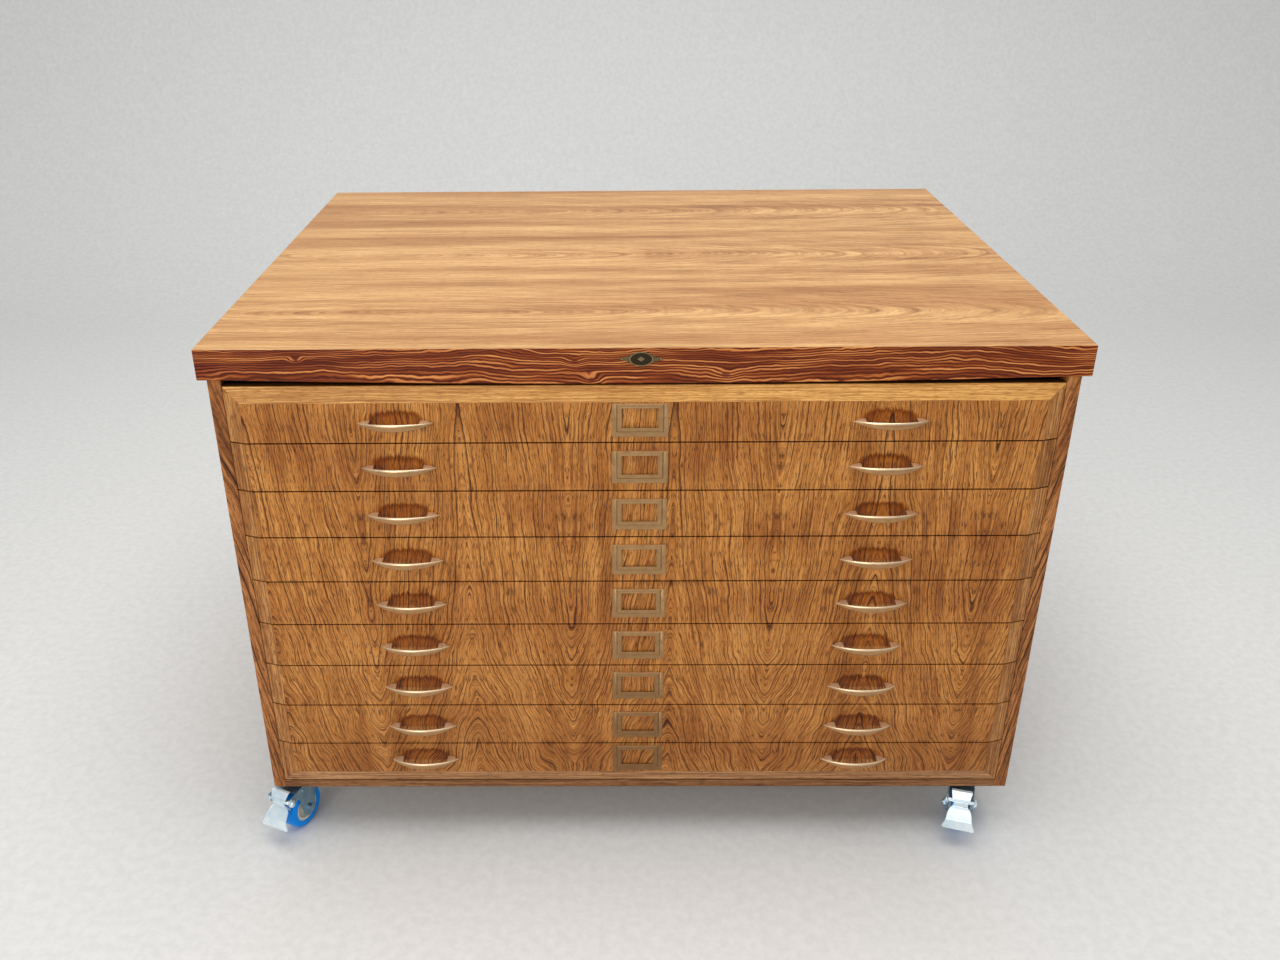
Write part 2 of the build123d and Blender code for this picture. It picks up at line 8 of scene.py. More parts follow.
import bmesh
import bpy
from mathutils import Matrix, Vector


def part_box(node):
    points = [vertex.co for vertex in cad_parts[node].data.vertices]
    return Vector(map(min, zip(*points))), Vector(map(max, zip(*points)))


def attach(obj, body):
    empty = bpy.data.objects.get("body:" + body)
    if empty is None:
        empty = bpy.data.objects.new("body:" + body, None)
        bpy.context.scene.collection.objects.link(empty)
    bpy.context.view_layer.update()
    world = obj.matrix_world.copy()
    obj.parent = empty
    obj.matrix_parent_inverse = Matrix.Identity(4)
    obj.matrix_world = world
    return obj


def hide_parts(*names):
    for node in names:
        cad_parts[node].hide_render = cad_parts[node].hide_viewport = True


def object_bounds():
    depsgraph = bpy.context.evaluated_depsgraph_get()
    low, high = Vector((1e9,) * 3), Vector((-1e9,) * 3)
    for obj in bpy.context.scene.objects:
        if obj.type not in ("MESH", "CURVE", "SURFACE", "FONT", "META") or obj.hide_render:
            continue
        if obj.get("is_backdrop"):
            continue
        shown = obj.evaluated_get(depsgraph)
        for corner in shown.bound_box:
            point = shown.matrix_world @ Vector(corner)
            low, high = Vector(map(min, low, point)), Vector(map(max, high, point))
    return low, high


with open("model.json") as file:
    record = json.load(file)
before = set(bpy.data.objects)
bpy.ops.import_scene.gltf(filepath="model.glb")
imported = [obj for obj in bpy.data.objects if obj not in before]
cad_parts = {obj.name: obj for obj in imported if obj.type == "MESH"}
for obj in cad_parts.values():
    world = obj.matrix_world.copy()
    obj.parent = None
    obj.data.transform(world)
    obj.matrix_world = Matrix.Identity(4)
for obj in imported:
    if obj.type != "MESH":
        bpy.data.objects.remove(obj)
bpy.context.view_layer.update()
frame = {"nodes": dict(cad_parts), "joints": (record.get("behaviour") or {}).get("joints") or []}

# ---- places, read from the frame where it has them ----
DRAWER_COUNT = sum(1 for name in frame["nodes"] if name.startswith("drawer_") and name.endswith("_front"))
FACE_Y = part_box("drawer_1_front")[0].y
FRONT_BACK_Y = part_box("drawer_1_front")[1].y
FRONT_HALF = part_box("drawer_1_front")[1].x
CASE_LOW_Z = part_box("case_left_side")[0].z
EDGING_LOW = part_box("top_edging")[0]
TOP_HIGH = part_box("top_panel")[1]
DRAWER_PITCH = 0.077
LOWEST_CELL_Z = CASE_LOW_Z + 0.021        # bottom of the lowest drawer's cell
PULL_HALF_LENGTH = 0.054
PULL_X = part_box("drawer_1_pulls")[1].x - PULL_HALF_LENGTH

# ---- sizes of the detailed pieces ----
BEVEL_WIDTH = 0.023              # bevelled lipping, seen from the front
BEVEL_DEPTH = 0.0075
ARRIS = 0.0006                   # rounding of wooden edges
EDGING_ARRIS = 0.0012
METAL_ARRIS = 0.0004
CARD_FRAME_ARRIS = 0.00022
MEDALLION_ARRIS = 0.00015

PULL_STANDOFF = 0.028
PULL_TIP_STANDOFF = 0.007
PULL_BAR_THICKNESS = 0.0048
PULL_HALF_HEIGHT = 0.0048
PULL_TIP_HALF_HEIGHT = 0.0007
PULL_FOOT_INNER = 0.036
PULL_FOOT_OUTER = 0.046
PULL_FOOT_END = 0.0525
PULL_FOOT_STEPS = 14             # sections along one foot

LABEL_WINDOW = (0.026, -0.0110, 0.0190)   # half width, lower and upper edge, from the frame's middle
LABEL_PIN_X = 0.0368
PIN_RADIUS = 0.0014

NAMEPLATE_OVAL = (0.0165, 0.01025)        # half axes
NAMEPLATE_HALF_LENGTH = 0.030
NAMEPLATE_BASE = 0.0013
NAMEPLATE_TIP_ROUNDING = 0.0009
NAMEPLATE_PIN_INSET = 0.0032
WING_TIP_HALF_HEIGHT = 0.0013
WING_GROWTH = 0.0042                      # gain in half height over WING_LENGTH from the tip
WING_LENGTH = 0.0160
WING_MOST = 0.0062
LOZENGE = (0.0060, 0.0042)                # half axes
# rings of the medallion's rim and of its lozenge: share of the half axes, distance from the face
RIM = ((1.0, 0.0006), (1.0, 0.0017), (0.985, 0.0022), (0.93, 0.0022), (0.90, 0.0016), (0.90, 0.0006))
LOZENGE_RINGS = ((1.0, 0.0006), (1.0, 0.0014), (0.78, 0.0019))

# ---- brake pedal: (y, z, half width) with the swivel axis at y = 0 and the wheel trailing towards -y ----
SHEET = 0.0025
PEDAL_PAN = (
    (-0.0828, 0.0850, 0.0115), (-0.0838, 0.0810, 0.0115), (-0.0806, 0.0795, 0.0115),
    (-0.0812, 0.0755, 0.0118), (-0.0778, 0.0735, 0.0120), (-0.0776, 0.0712, 0.0126),
    (-0.0806, 0.0684, 0.0168), (-0.0858, 0.0640, 0.0192), (-0.0940, 0.0569, 0.0210),
    (-0.0951, 0.0556, 0.0213), (-0.0958, 0.0530, 0.0222), (-0.0978, 0.0452, 0.0255),
    (-0.0986, 0.0420, 0.0262), (-0.0990, 0.0405, 0.0215),
)
PEDAL_TAB = (
    (-0.0828, 0.0870, 0.0145), (-0.0800, 0.0915, 0.0146), (-0.0765, 0.0960, 0.0156),
    (-0.0752, 0.0980, 0.0164), (-0.0735, 0.0992, 0.0166), (-0.0695, 0.0998, 0.0163),
)
PEDAL_SHOE = ((-0.0780, 0.0725, 0.0105), (-0.0682, 0.0576, 0.0105))
PEDAL_BAR = (                             # (x, y) of the yoke bar, seen from above
    (-0.0218, -0.0740), (-0.0218, -0.0812), (-0.0192, -0.0832),
    (0.0192, -0.0832), (0.0218, -0.0812), (0.0218, -0.0740),
)
PEDAL_BAR_LOW, PEDAL_BAR_HIGH = 0.0845, 0.0905
PEDAL_PIVOT = (-0.074, 0.080)
PEDAL_EAR = (0.0205, 0.0230, 0.0065)      # inner and outer side, radius
PEDAL_RIVET = (0.0260, 0.0055)            # outer end of its head, radius

# ---- camera ----
CAMERA_PLACE = Vector((-0.0453, FACE_Y - 1.4853, CASE_LOW_Z + 1.3296))
CAMERA_YAW = -0.0126             # radians; positive looks to the right
CAMERA_PITCH = 0.4522            # downwards
CAMERA_ROLL = 0.0095
CAMERA_LENS = 32.4               # mm on a 36 mm sensor
CAMERA_SHIFT = (0.0334, -0.0148)

# ---- stage ----
FLOOR_HALF_WIDTH = 12.0
FLOOR_FRONT_Y, FLOOR_BEND_Y = -9.0, 2.2   # the floor is flat between them
FLOOR_BEND_RADIUS = 1.2
FLOOR_BEND_STEPS = 8
BACKDROP_HIGH = 8.0


# ================================================================ node graphs

class Graph:
    """A material's node tree, built with short calls. Values and sockets can be mixed freely."""

    def __init__(self, name):
        self.material = bpy.data.materials.new(name)
        self.material.use_nodes = True
        self.tree = self.material.node_tree
        self.tree.nodes.clear()
        self.shader = self.tree.nodes.new("ShaderNodeBsdfPrincipled")
        output = self.tree.nodes.new("ShaderNodeOutputMaterial")
        self.tree.links.new(self.shader.outputs[0], output.inputs["Surface"])

    def put(self, socket, value):
        if isinstance(value, bpy.types.NodeSocket):
            self.tree.links.new(value, socket)
        else:
            socket.default_value = value

    def point(self):
        """Place on the piece, in the CAD frame at rest."""
        return self.tree.nodes.new("ShaderNodeTexCoord").outputs["Object"]

    def split(self, vector):
        node = self.tree.nodes.new("ShaderNodeSeparateXYZ")
        self.put(node.inputs[0], vector)
        return node.outputs[0], node.outputs[1], node.outputs[2]

    def join(self, x, y, z):
        node = self.tree.nodes.new("ShaderNodeCombineXYZ")
        for socket, value in zip(node.inputs, (x, y, z)):
            self.put(socket, value)
        return node.outputs[0]

    def math(self, operation, a, b=0.0, c=0.0):
        node = self.tree.nodes.new("ShaderNodeMath")
        node.operation = operation
        for socket, value in zip(node.inputs, (a, b, c)):
            self.put(socket, value)
        return node.outputs[0]

    def add(self, a, b):
        return self.math("ADD", a, b)

    def sub(self, a, b):
        return self.math("SUBTRACT", a, b)

    def mul(self, a, b):
        return self.math("MULTIPLY", a, b)

    def range(self, value, low, high, to_low=0.0, to_high=1.0, smooth=True):
        node = self.tree.nodes.new("ShaderNodeMapRange")
        node.interpolation_type = "SMOOTHSTEP" if smooth else "LINEAR"
        for socket, number in zip(node.inputs, (value, low, high, to_low, to_high)):
            self.put(socket, number)
        return node.outputs[0]

    def noise(self, vector, scale=1.0, detail=2.0, roughness=0.5):
        node = self.tree.nodes.new("ShaderNodeTexNoise")
        self.put(node.inputs["Vector"], vector)
        node.inputs["Scale"].default_value = scale
        node.inputs["Detail"].default_value = detail
        node.inputs["Roughness"].default_value = roughness
        return node.outputs["Fac"]

    def ramp(self, value, stops):
        node = self.tree.nodes.new("ShaderNodeValToRGB")
        elements = node.color_ramp.elements
        while len(elements) < len(stops):
            elements.new(0.5)
        for element, (place, colour) in zip(elements, stops):
            element.position = place
            element.color = (*colour, 1.0)
        self.put(node.inputs[0], value)
        return node.outputs[0]

    def mix(self, factor, a, b, blend="MIX"):
        node = self.tree.nodes.new("ShaderNodeMix")
        node.data_type = "RGBA"
        node.blend_type = blend
        self.put(node.inputs[0], factor)
        self.put(node.inputs[6], a if isinstance(a, bpy.types.NodeSocket) else (*a, 1.0))
        self.put(node.inputs[7], b if isinstance(b, bpy.types.NodeSocket) else (*b, 1.0))
        return node.outputs[2]

    def bump(self, height, distance, strength=1.0):
        node = self.tree.nodes.new("ShaderNodeBump")
        node.inputs["Strength"].default_value = strength
        node.inputs["Distance"].default_value = distance
        self.put(node.inputs["Height"], height)
        self.put(self.shader.inputs["Normal"], node.outputs[0])

    def finish(self, **sockets):
        """Set the shader's sockets and return the material. Underscores stand for spaces."""
        for name, value in sockets.items():
            self.put(self.shader.inputs[name.replace("_", " ")], value)
        return self.material


def tone(red, green, blue):
    """A display colour, 0 to 255, as the linear colour that a shader takes."""
    def linear(value):
        value /= 255.0
        return value / 12.92 if value <= 0.04045 else ((value + 0.055) / 1.055) ** 2.4
    return linear(red), linear(green), linear(blue)


# ================================================================ woods

# waves per metre across and along the grain, and how far each kind of stray goes
WANDER = ((6.0, 3.5, 0.030), (24.0, 10.0, 0.010), (90.0, 36.0, 0.0028), (260.0, 120.0, 0.0012))


def wander(graph, across, along, seed, amount=1.0):
    """How far the grain strays sideways, in metres: long sweeps, shorter waves and a fine crinkle."""
    total = 0.0
    for step, (fine_across, fine_along, reach) in enumerate(WANDER):
        where = graph.add(seed, step * 3.1)
        place = graph.join(graph.mul(across, fine_across), graph.mul(along, fine_along), where)
        stray = graph.sub(graph.noise(place, detail=1.0), 0.5)
        total = graph.add(total, graph.mul(stray, reach * amount))
    return total


def grain(graph, field, along, spacing, seed):
    """Ring count of a field in metres, with rings that crowd and spread a little."""
    crowding = graph.noise(graph.join(graph.mul(field, 45.0), seed, graph.mul(along, 0.8)), detail=1.0)
    return graph.add(graph.mul(field, 1.0 / spacing), graph.mul(crowding, 2.4))


def rings(graph, count, width):
    """1 on the growth lines, falling to 0 between them, with one side sharper than the other."""
    place = graph.math("FRACT", count)
    rise = graph.range(place, 0.0, width * 0.4)
    fall = graph.range(place, width * 0.4, width * 1.7, 1.0, 0.0)
    return graph.mul(rise, fall)


def wood(graph, field, across, along, count, colours, seed, lines=0.8, width=0.20, pores=0.5):
    """Colour of open-pored wood, and how much of it is growth line or pore.

    colours are those of light, middle and dark wood and of the lines.
    """
    light, middle, dark, line = colours
    wide = graph.noise(graph.join(graph.mul(across, 30.0), graph.mul(along, 1.5), seed), detail=2.0)
    fibres = graph.join(graph.mul(field, 330.0), graph.mul(along, 9.0), seed)
    fine = graph.noise(fibres, detail=3.0, roughness=0.7)
    shade = graph.add(graph.mul(wide, 0.35), graph.mul(fine, 0.65))
    base = graph.ramp(shade, [(0.38, dark), (0.49, middle), (0.60, light)])
    ring = graph.add(graph.mul(graph.math("FLOOR", count), 0.77), 0.31)
    force = graph.noise(graph.join(ring, graph.mul(along, 7.0), seed), detail=1.0)
    drawn = graph.mul(rings(graph, count, width), graph.range(force, 0.38, 0.58, 0.12, 1.0))
    dashes = graph.join(graph.mul(field, 760.0), graph.mul(along, 62.0), seed)
    dots = graph.range(graph.noise(dashes, detail=2.0, roughness=0.6), 0.50, 0.64)
    mark = graph.math("MAXIMUM", graph.mul(drawn, lines), graph.mul(dots, pores))
    return graph.mix(mark, base, line), mark


def finish_wood(graph, colour, mark, roughness=0.42, relief=0.00012):
    graph.bump(graph.mul(mark, -1.0), relief, 0.7)
    gloss = graph.range(mark, 0.0, 1.0, roughness, roughness + 0.16)
    return graph.finish(Base_Color=colour, Roughness=gloss, Specular_IOR_Level=0.22)


DRAWER_TONES = (tone(210, 146, 76), tone(186, 120, 53), tone(152, 91, 38), tone(62, 22, 0))
LEAF_WIDTH = 0.306               # width of one leaf of drawer veneer
POINT_X = -0.107                 # middle of one pointed figure; the next leaf has it one width further on
FIGURE_HIGH = 0.46               # the pointed figure runs down from this height above the case bottom
GAP_SHADE_TONE = tone(62, 46, 38)    # painted shade: the edges of the fronts are darker than their faces, for the shade in the gaps between them
ARCH_HALF_WIDTH = 0.0385
ARCH_HEIGHT = 0.0165          # above the middle of the pull


def paint_gap_shade(graph, colour, y, face_y):
    """Painted shade: the edges of a front, behind its rounded arris at face_y, are darker than its face,
    standing for the shade in the gaps.
    """
    behind = graph.range(y, face_y + 0.0009, face_y + 0.004, 0.0, 0.9)
    return graph.mix(behind, colour, GAP_SHADE_TONE, "MULTIPLY")


def drawer_grain(graph, x, z):
    """Slip-matched oak leaves with upright grain that runs on from drawer to drawer."""
    turn = graph.mul(graph.sub(x, POINT_X), 2 * math.pi / LEAF_WIDTH)
    # distance from the middle of the nearest pointed figure, rounded at the points and half-way between them
    swing = graph.mul(graph.math("COSINE", turn), -0.997)
    side = graph.mul(graph.math("ARCSINE", swing), LEAF_WIDTH / (2 * math.pi))
    height = graph.sub(z, CASE_LOW_Z)
    sag = graph.math("MAXIMUM", graph.sub(FIGURE_HIGH, height), 0.0)
    field = graph.add(side, graph.sub(graph.mul(graph.mul(sag, sag), 0.36), graph.mul(height, 0.07)))
    knurl = graph.noise(graph.join(graph.mul(x, 17.0), graph.mul(z, 15.0), 31.0), detail=1.0)
    reach = graph.range(height, 0.05, 0.5, 0.032, 0.006)
    field = graph.add(field, graph.mul(graph.sub(knurl, 0.5), reach))
    field = graph.add(field, wander(graph, x, z, 0.0))
    count = grain(graph, field, z, 0.0068, 1.0)
    colour, mark = wood(graph, field, x, z, count, DRAWER_TONES, 2.0, 0.96, 0.22, 0.72)
    cloud = graph.noise(graph.join(graph.mul(x, 5.0), graph.mul(z, 8.0), 8.0), detail=3.0)
    colour = graph.mix(graph.range(cloud, 0.38, 0.68, 0.0, 0.45), colour, tone(196, 160, 128), "MULTIPLY")
    # painted shade: the lower drawers are a little darker, as the light falls off towards the floor
    floor_falloff_shade = graph.range(height, 0.0, 0.36, 0.6, 0.0)
    return graph.mix(floor_falloff_shade, colour, tone(226, 222, 230), "MULTIPLY"), mark


def dark_arch_by_pull(graph, colour, x, z, number, pull_z):
    """Darker arch behind each pull, reaching above its middle, with a ragged upper edge."""
    away = graph.math("ABSOLUTE", graph.sub(graph.math("ABSOLUTE", x), PULL_X))
    fray = graph.noise(graph.join(graph.mul(x, 330.0), graph.mul(z, 25.0), number * 1.7), detail=3.0)
    up = graph.sub(z, pull_z)
    ragged = graph.math("MAXIMUM", graph.add(up, graph.mul(graph.sub(fray, 0.5), 0.015)), 0.0)
    reach = graph.add(
        graph.math("POWER", graph.mul(away, 1.0 / ARCH_HALF_WIDTH), 3.4),
        graph.math("POWER", graph.mul(ragged, 1.0 / ARCH_HEIGHT), 2.4),
    )
    arch = graph.mul(graph.range(reach, 0.55, 1.30, 1.0, 0.0), graph.range(up, -0.010, -0.004))
    thick = graph.mul(arch, graph.range(reach, 0.02, 0.60, 0.10, 1.0))
    colour = graph.mix(arch, colour, tone(226, 196, 124), "MULTIPLY")
    colour = graph.mix(graph.mul(thick, 0.75), colour, tone(178, 142, 62), "MULTIPLY")
    return graph.mix(graph.mul(thick, 0.12), colour, tone(88, 50, 4))


def drawer_veneer(number, pull_z):
    graph = Graph(f"drawer_veneer_{number}")
    x, y, z = graph.split(graph.point())
    colour, mark = drawer_grain(graph, x, z)
    colour = dark_arch_by_pull(graph, colour, x, z, number, pull_z)
    # its edges get the painted shade of the gaps between the fronts
    return finish_wood(graph, paint_gap_shade(graph, colour, y, FACE_Y), mark)


SIDE_LIPPING_TONES = (tone(202, 144, 82), tone(164, 106, 52), tone(124, 72, 28), tone(66, 30, 8))
TOP_LIPPING_TONES = (tone(222, 166, 94), tone(190, 134, 68), tone(158, 102, 44), tone(120, 70, 26))
LOW_LIPPING_TONES = (tone(216, 162, 110), tone(182, 130, 82), tone(146, 98, 58), tone(88, 50, 24))


def lipping_wood(name, direction, colours, seed, lines=0.8):
    """Narrow solid strip with nearly straight grain along X or Z."""
    graph = Graph(name)
    x, y, z = graph.split(graph.point())
    across, along = (z, x) if direction == "X" else (x, z)
    # each upright strip is a piece of its own, so its grain starts anew
    cell = graph.math("FLOOR", graph.mul(graph.sub(z, LOWEST_CELL_Z), 1.0 / DRAWER_PITCH))
    offset = graph.mul(cell, 0.37) if direction == "Z" else 0.0
    shifted = graph.add(graph.add(across, graph.mul(y, 0.7)), offset)
    field = graph.add(shifted, wander(graph, shifted, along, seed, 0.35))
    count = grain(graph, field, along, 0.0042, seed)
    colour, mark = wood(graph, field, shifted, along, count, colours, seed, lines, 0.22, 0.55)
    # the edges behind the bevel get the painted shade of the gaps between the fronts
    return finish_wood(graph, paint_gap_shade(graph, colour, y, FACE_Y + BEVEL_DEPTH), mark, 0.40)


RAIL_TONES = (tone(162, 112, 68), tone(130, 84, 48), tone(96, 56, 26), tone(50, 22, 6))


def rail_wood():
    """Rails across the case: grain along X. The one over the drawers is painted nearly black, as painted
    shade in the gap under the top.
    """
    graph = Graph("rail_wood")
    x, y, z = graph.split(graph.point())
    across = graph.add(z, y)
    field = graph.add(across, wander(graph, across, x, 27.0, 0.5))
    count = grain(graph, field, x, 0.0060, 27.0)
    colour, mark = wood(graph, field, across, x, count, RAIL_TONES, 27.0, 0.8, 0.22, 0.55)
    # painted shade: the rail above the drawers is nearly black, where the gap under the top lies in shadow
    colour = graph.mix(graph.range(z, CASE_LOW_Z + 0.3, CASE_LOW_Z + 0.4), colour, tone(14, 8, 4))
    return finish_wood(graph, colour, mark, 0.44)


TOP_TONES = (tone(214, 170, 114), tone(192, 145, 92), tone(160, 114, 68), tone(116, 76, 42))
TOP_LEAF_WIDTH = 0.31


def top_grain(graph, x, y):
    """Wide leaves of quiet oak, grain from left to right, with brown streaks and a few pointed figures."""
    leaf = graph.math("FLOOR", graph.mul(graph.sub(y, EDGING_LOW.y), 1.0 / TOP_LEAF_WIDTH))
    middle = graph.add(graph.mul(graph.add(leaf, 0.5), TOP_LEAF_WIDTH), EDGING_LOW.y)
    across = graph.sub(y, middle)
    taper = graph.add(graph.mul(graph.add(x, graph.mul(leaf, 0.16)), 0.10), 0.03)
    bent = graph.add(across, wander(graph, y, x, 5.0, 0.8))
    field = graph.math("SQRT", graph.add(graph.mul(bent, bent), graph.mul(taper, taper)))
    count = grain(graph, field, x, 0.0075, graph.mul(leaf, 1.9))
    colour, mark = wood(graph, field, y, x, count, TOP_TONES, 6.0, 0.42, 0.18, 0.3)
    band = graph.noise(graph.join(graph.mul(x, 0.7), graph.mul(y, 13.0), 3.0), detail=4.0, roughness=0.6)
    colour = graph.mix(graph.range(band, 0.42, 0.66, 0.0, 0.6), colour, tone(196, 162, 132), "MULTIPLY")
    return colour, mark


def top_veneer():
    """Veneer on the upper face, and bands of it round the bare edges with their grain along the edge."""
    graph = Graph("top_veneer")
    x, y, z = graph.split(graph.point())
    colour, mark = top_grain(graph, x, y)
    band_colour, band_mark = top_grain(graph, graph.add(x, y), z)
    at_end = graph.range(graph.math("ABSOLUTE", x), TOP_HIGH.x - 0.0009, TOP_HIGH.x - 0.0004)
    at_back = graph.range(y, TOP_HIGH.y - 0.0009, TOP_HIGH.y - 0.0004)
    at_edge = graph.math("MAXIMUM", at_end, at_back)
    colour = graph.mix(at_edge, colour, band_colour)
    mark = graph.add(mark, graph.mul(at_edge, graph.sub(band_mark, mark)))
    return finish_wood(graph, colour, mark, 0.40)


# place along the edging, height above its lowest point, and size of each knot
KNOTS = ((-0.094, 0.033, 0.0042), (-0.071, 0.006, 0.0042), (0.115, 0.013, 0.0050), (-0.48, 0.036, 0.0030))
# waves per metre along and up the edging, and how far each kind of wave goes
EDGING_WAVES = ((3.0, 9.0, 0.050), (16.0, 28.0, 0.013), (60.0, 80.0, 0.004))
EDGING_TONES = (
    (0.0, tone(78, 22, 0)), (0.16, tone(122, 50, 8)), (0.38, tone(160, 80, 26)), (0.70, tone(230, 154, 86)),
)


def knotty_field(graph, x, up):
    """Course of the edging's grain, which waves and parts round the knots, and the knots' hearts."""
    field = up
    for step, (fine_x, fine_up, reach) in enumerate(EDGING_WAVES):
        place = graph.join(graph.mul(x, fine_x), graph.mul(up, fine_up), 1.0 + step * 3.0)
        stray = graph.noise(place, detail=1.0)
        field = graph.add(field, graph.mul(graph.sub(stray, 0.5), reach))
    heart = 0.0
    for knot_x, knot_z, size in KNOTS:
        dx = graph.mul(graph.sub(x, knot_x), 0.6)
        dz = graph.sub(up, knot_z)
        distance = graph.math("SQRT", graph.add(graph.mul(dx, dx), graph.mul(dz, dz)))
        field = graph.add(field, graph.range(distance, 0.0, size * 3.4, 0.009, 0.0))
        rim = graph.range(distance, size * 0.45, size, 1.0, 0.0)
        heart = graph.math("MAXIMUM", heart, rim)
    return field, heart


def fir_edging():
    """Flat-sawn softwood stained red-brown, with strong wavy growth lines and small knots.

    The veneer of the top runs on over it, so its upper face looks like the top.
    """
    graph = Graph("fir_edging")
    x, y, z = graph.split(graph.point())
    up = graph.add(graph.sub(z, EDGING_LOW.z), graph.mul(graph.sub(y, EDGING_LOW.y), 0.5))
    field, heart = knotty_field(graph, x, up)
    rings_per_metre = graph.range(up, 0.0, 0.046, 150.0, 250.0, smooth=False)
    count = graph.mul(field, rings_per_metre)
    place = graph.math("FRACT", count)
    fibres = graph.join(graph.mul(x, 22.0), graph.mul(count, 5.0), 2.0)
    fibre = graph.noise(fibres, detail=3.0, roughness=0.7)
    ring = graph.add(graph.mul(graph.math("FLOOR", count), 0.77), 0.31)
    force = graph.noise(graph.join(ring, graph.mul(x, 5.0), 5.0), detail=1.0)
    bright = graph.mul(graph.range(place, 0.02, 0.42), graph.range(place, 0.60, 0.92, 1.0, 0.0))
    bright = graph.mul(bright, graph.range(force, 0.34, 0.60, 0.25, 1.0))
    shade = graph.add(graph.mul(bright, 0.62), graph.mul(graph.sub(fibre, 0.5), 0.95))
    colour = graph.ramp(shade, EDGING_TONES)
    cloud = graph.noise(graph.join(graph.mul(x, 3.0), graph.mul(z, 40.0), 7.0), detail=3.0)
    leftward = graph.range(x, -0.66, -0.1, 0.75, 0.0)
    gloom = graph.mul(graph.range(cloud, 0.34, 0.62), graph.add(leftward, 0.25))
    colour = graph.mix(gloom, colour, tone(176, 116, 84), "MULTIPLY")
    colour = graph.mix(graph.mul(heart, 0.8), colour, tone(96, 28, 10))
    veneer = top_grain(graph, x, y)[0]
    on_top = graph.range(z, TOP_HIGH.z - 0.0011, TOP_HIGH.z - 0.0005)
    colour = graph.mix(on_top, colour, veneer)
    graph.bump(shade, 0.00025, 0.45)
    return graph.finish(Base_Color=colour, Roughness=0.38, Specular_IOR_Level=0.22)


CASE_TONES = (tone(194, 128, 70), tone(144, 86, 40), tone(96, 50, 18), tone(32, 8, 0))
CASE_LEAF_WIDTH = 0.30


def case_wood(name):
    """Stained oak boards with upright grain."""
    graph = Graph(name)
    x, y, z = graph.split(graph.point())
    across = graph.add(y, graph.mul(x, 1.4))
    leaf = graph.math("FLOOR", graph.mul(across, 1.0 / CASE_LEAF_WIDTH))
    local = graph.sub(across, graph.mul(graph.add(leaf, 0.5), CASE_LEAF_WIDTH))
    bent = graph.add(local, wander(graph, across, z, 9.0))
    lift = graph.add(graph.mul(z, 0.16), 0.02)
    field = graph.math("SQRT", graph.add(graph.mul(bent, bent), graph.mul(lift, lift)))
    count = grain(graph, field, z, 0.0075, graph.mul(leaf, 2.3))
    colour, mark = wood(graph, field, across, z, count, CASE_TONES, 9.0, 1.0, 0.24, 0.6)
    return finish_wood(graph, colour, mark, 0.44)


BOX_TONES = (tone(216, 184, 138), tone(198, 164, 118), tone(172, 136, 94), tone(140, 104, 68))
HIDDEN_TONES = (tone(176, 142, 100), tone(154, 120, 82), tone(128, 96, 64), tone(98, 70, 46))


def plain_board(name, direction, colours):
    """Unstained board with faint straight grain along X or Y."""
    graph = Graph(name)
    x, y, z = graph.split(graph.point())
    flat = (y, x) if direction == "X" else (x, y)
    across, along = graph.add(flat[0], graph.mul(z, 0.8)), flat[1]
    field = graph.add(across, wander(graph, across, along, 4.0))
    count = grain(graph, field, along, 0.009, 4.0)
    colour, mark = wood(graph, field, across, along, count, colours, 11.0, 0.30, 0.2, 0.15)
    return finish_wood(graph, colour, mark, 0.6, 0.00008)


# ================================================================ metals and plastics

def aged_brass():
    """Dull brass with cloudy tarnish and rubbed areas, and painted shade that darkens it towards the floor.
    """
    graph = Graph("aged_brass")
    z = graph.split(graph.point())[2]
    cloud = graph.noise(graph.point(), 90.0, 4.0, 0.6)
    fine = graph.noise(graph.point(), 1400.0, 2.0, 0.6)
    mask = graph.range(graph.add(graph.mul(cloud, 0.8), graph.mul(fine, 0.2)), 0.38, 0.66, 0.0, 0.5)
    shade = graph.mix(mask, tone(160, 124, 82), tone(184, 148, 104))
    # painted shade: darker towards the floor, as the light falls off
    floor_falloff_shade = graph.range(z, CASE_LOW_Z + 0.04, CASE_LOW_Z + 0.42, 0.85, 0.0)
    shade = graph.mix(floor_falloff_shade, shade, tone(204, 190, 182), "MULTIPLY")
    graph.bump(fine, 0.00004, 0.35)
    return graph.finish(Base_Color=shade, Metallic=0.75, Roughness=graph.range(cloud, 0.3, 0.7, 0.38, 0.54))


def pull_bronze(number, pull_z):
    """Satin bronze plate, with a painted highlight along the upper edge of the bow."""
    graph = Graph(f"pull_bronze_{number}")
    x, _, z = graph.split(graph.point())
    cloud = graph.noise(graph.point(), 90.0, 4.0, 0.6)
    fine = graph.noise(graph.point(), 1400.0, 2.0, 0.6)
    shade = graph.mix(graph.range(cloud, 0.34, 0.66, 0.0, 0.5), tone(168, 124, 80), tone(190, 148, 102))
    # painted highlight: the upper edge of the bow is lightened where it faces the sky
    share = graph.mul(graph.sub(graph.math("ABSOLUTE", x), PULL_X), 1.0 / PULL_HALF_LENGTH)
    crest = graph.sub(0.0033, graph.mul(graph.mul(share, share), 0.0030))
    painted_highlight = graph.range(graph.sub(graph.sub(z, pull_z), crest), -0.0011, 0.0011)
    shade = graph.mix(graph.mul(painted_highlight, 0.8), shade, tone(244, 220, 186))
    graph.bump(fine, 0.00004, 0.35)
    return graph.finish(Base_Color=shade, Metallic=0.75, Roughness=graph.range(cloud, 0.3, 0.7, 0.26, 0.42))


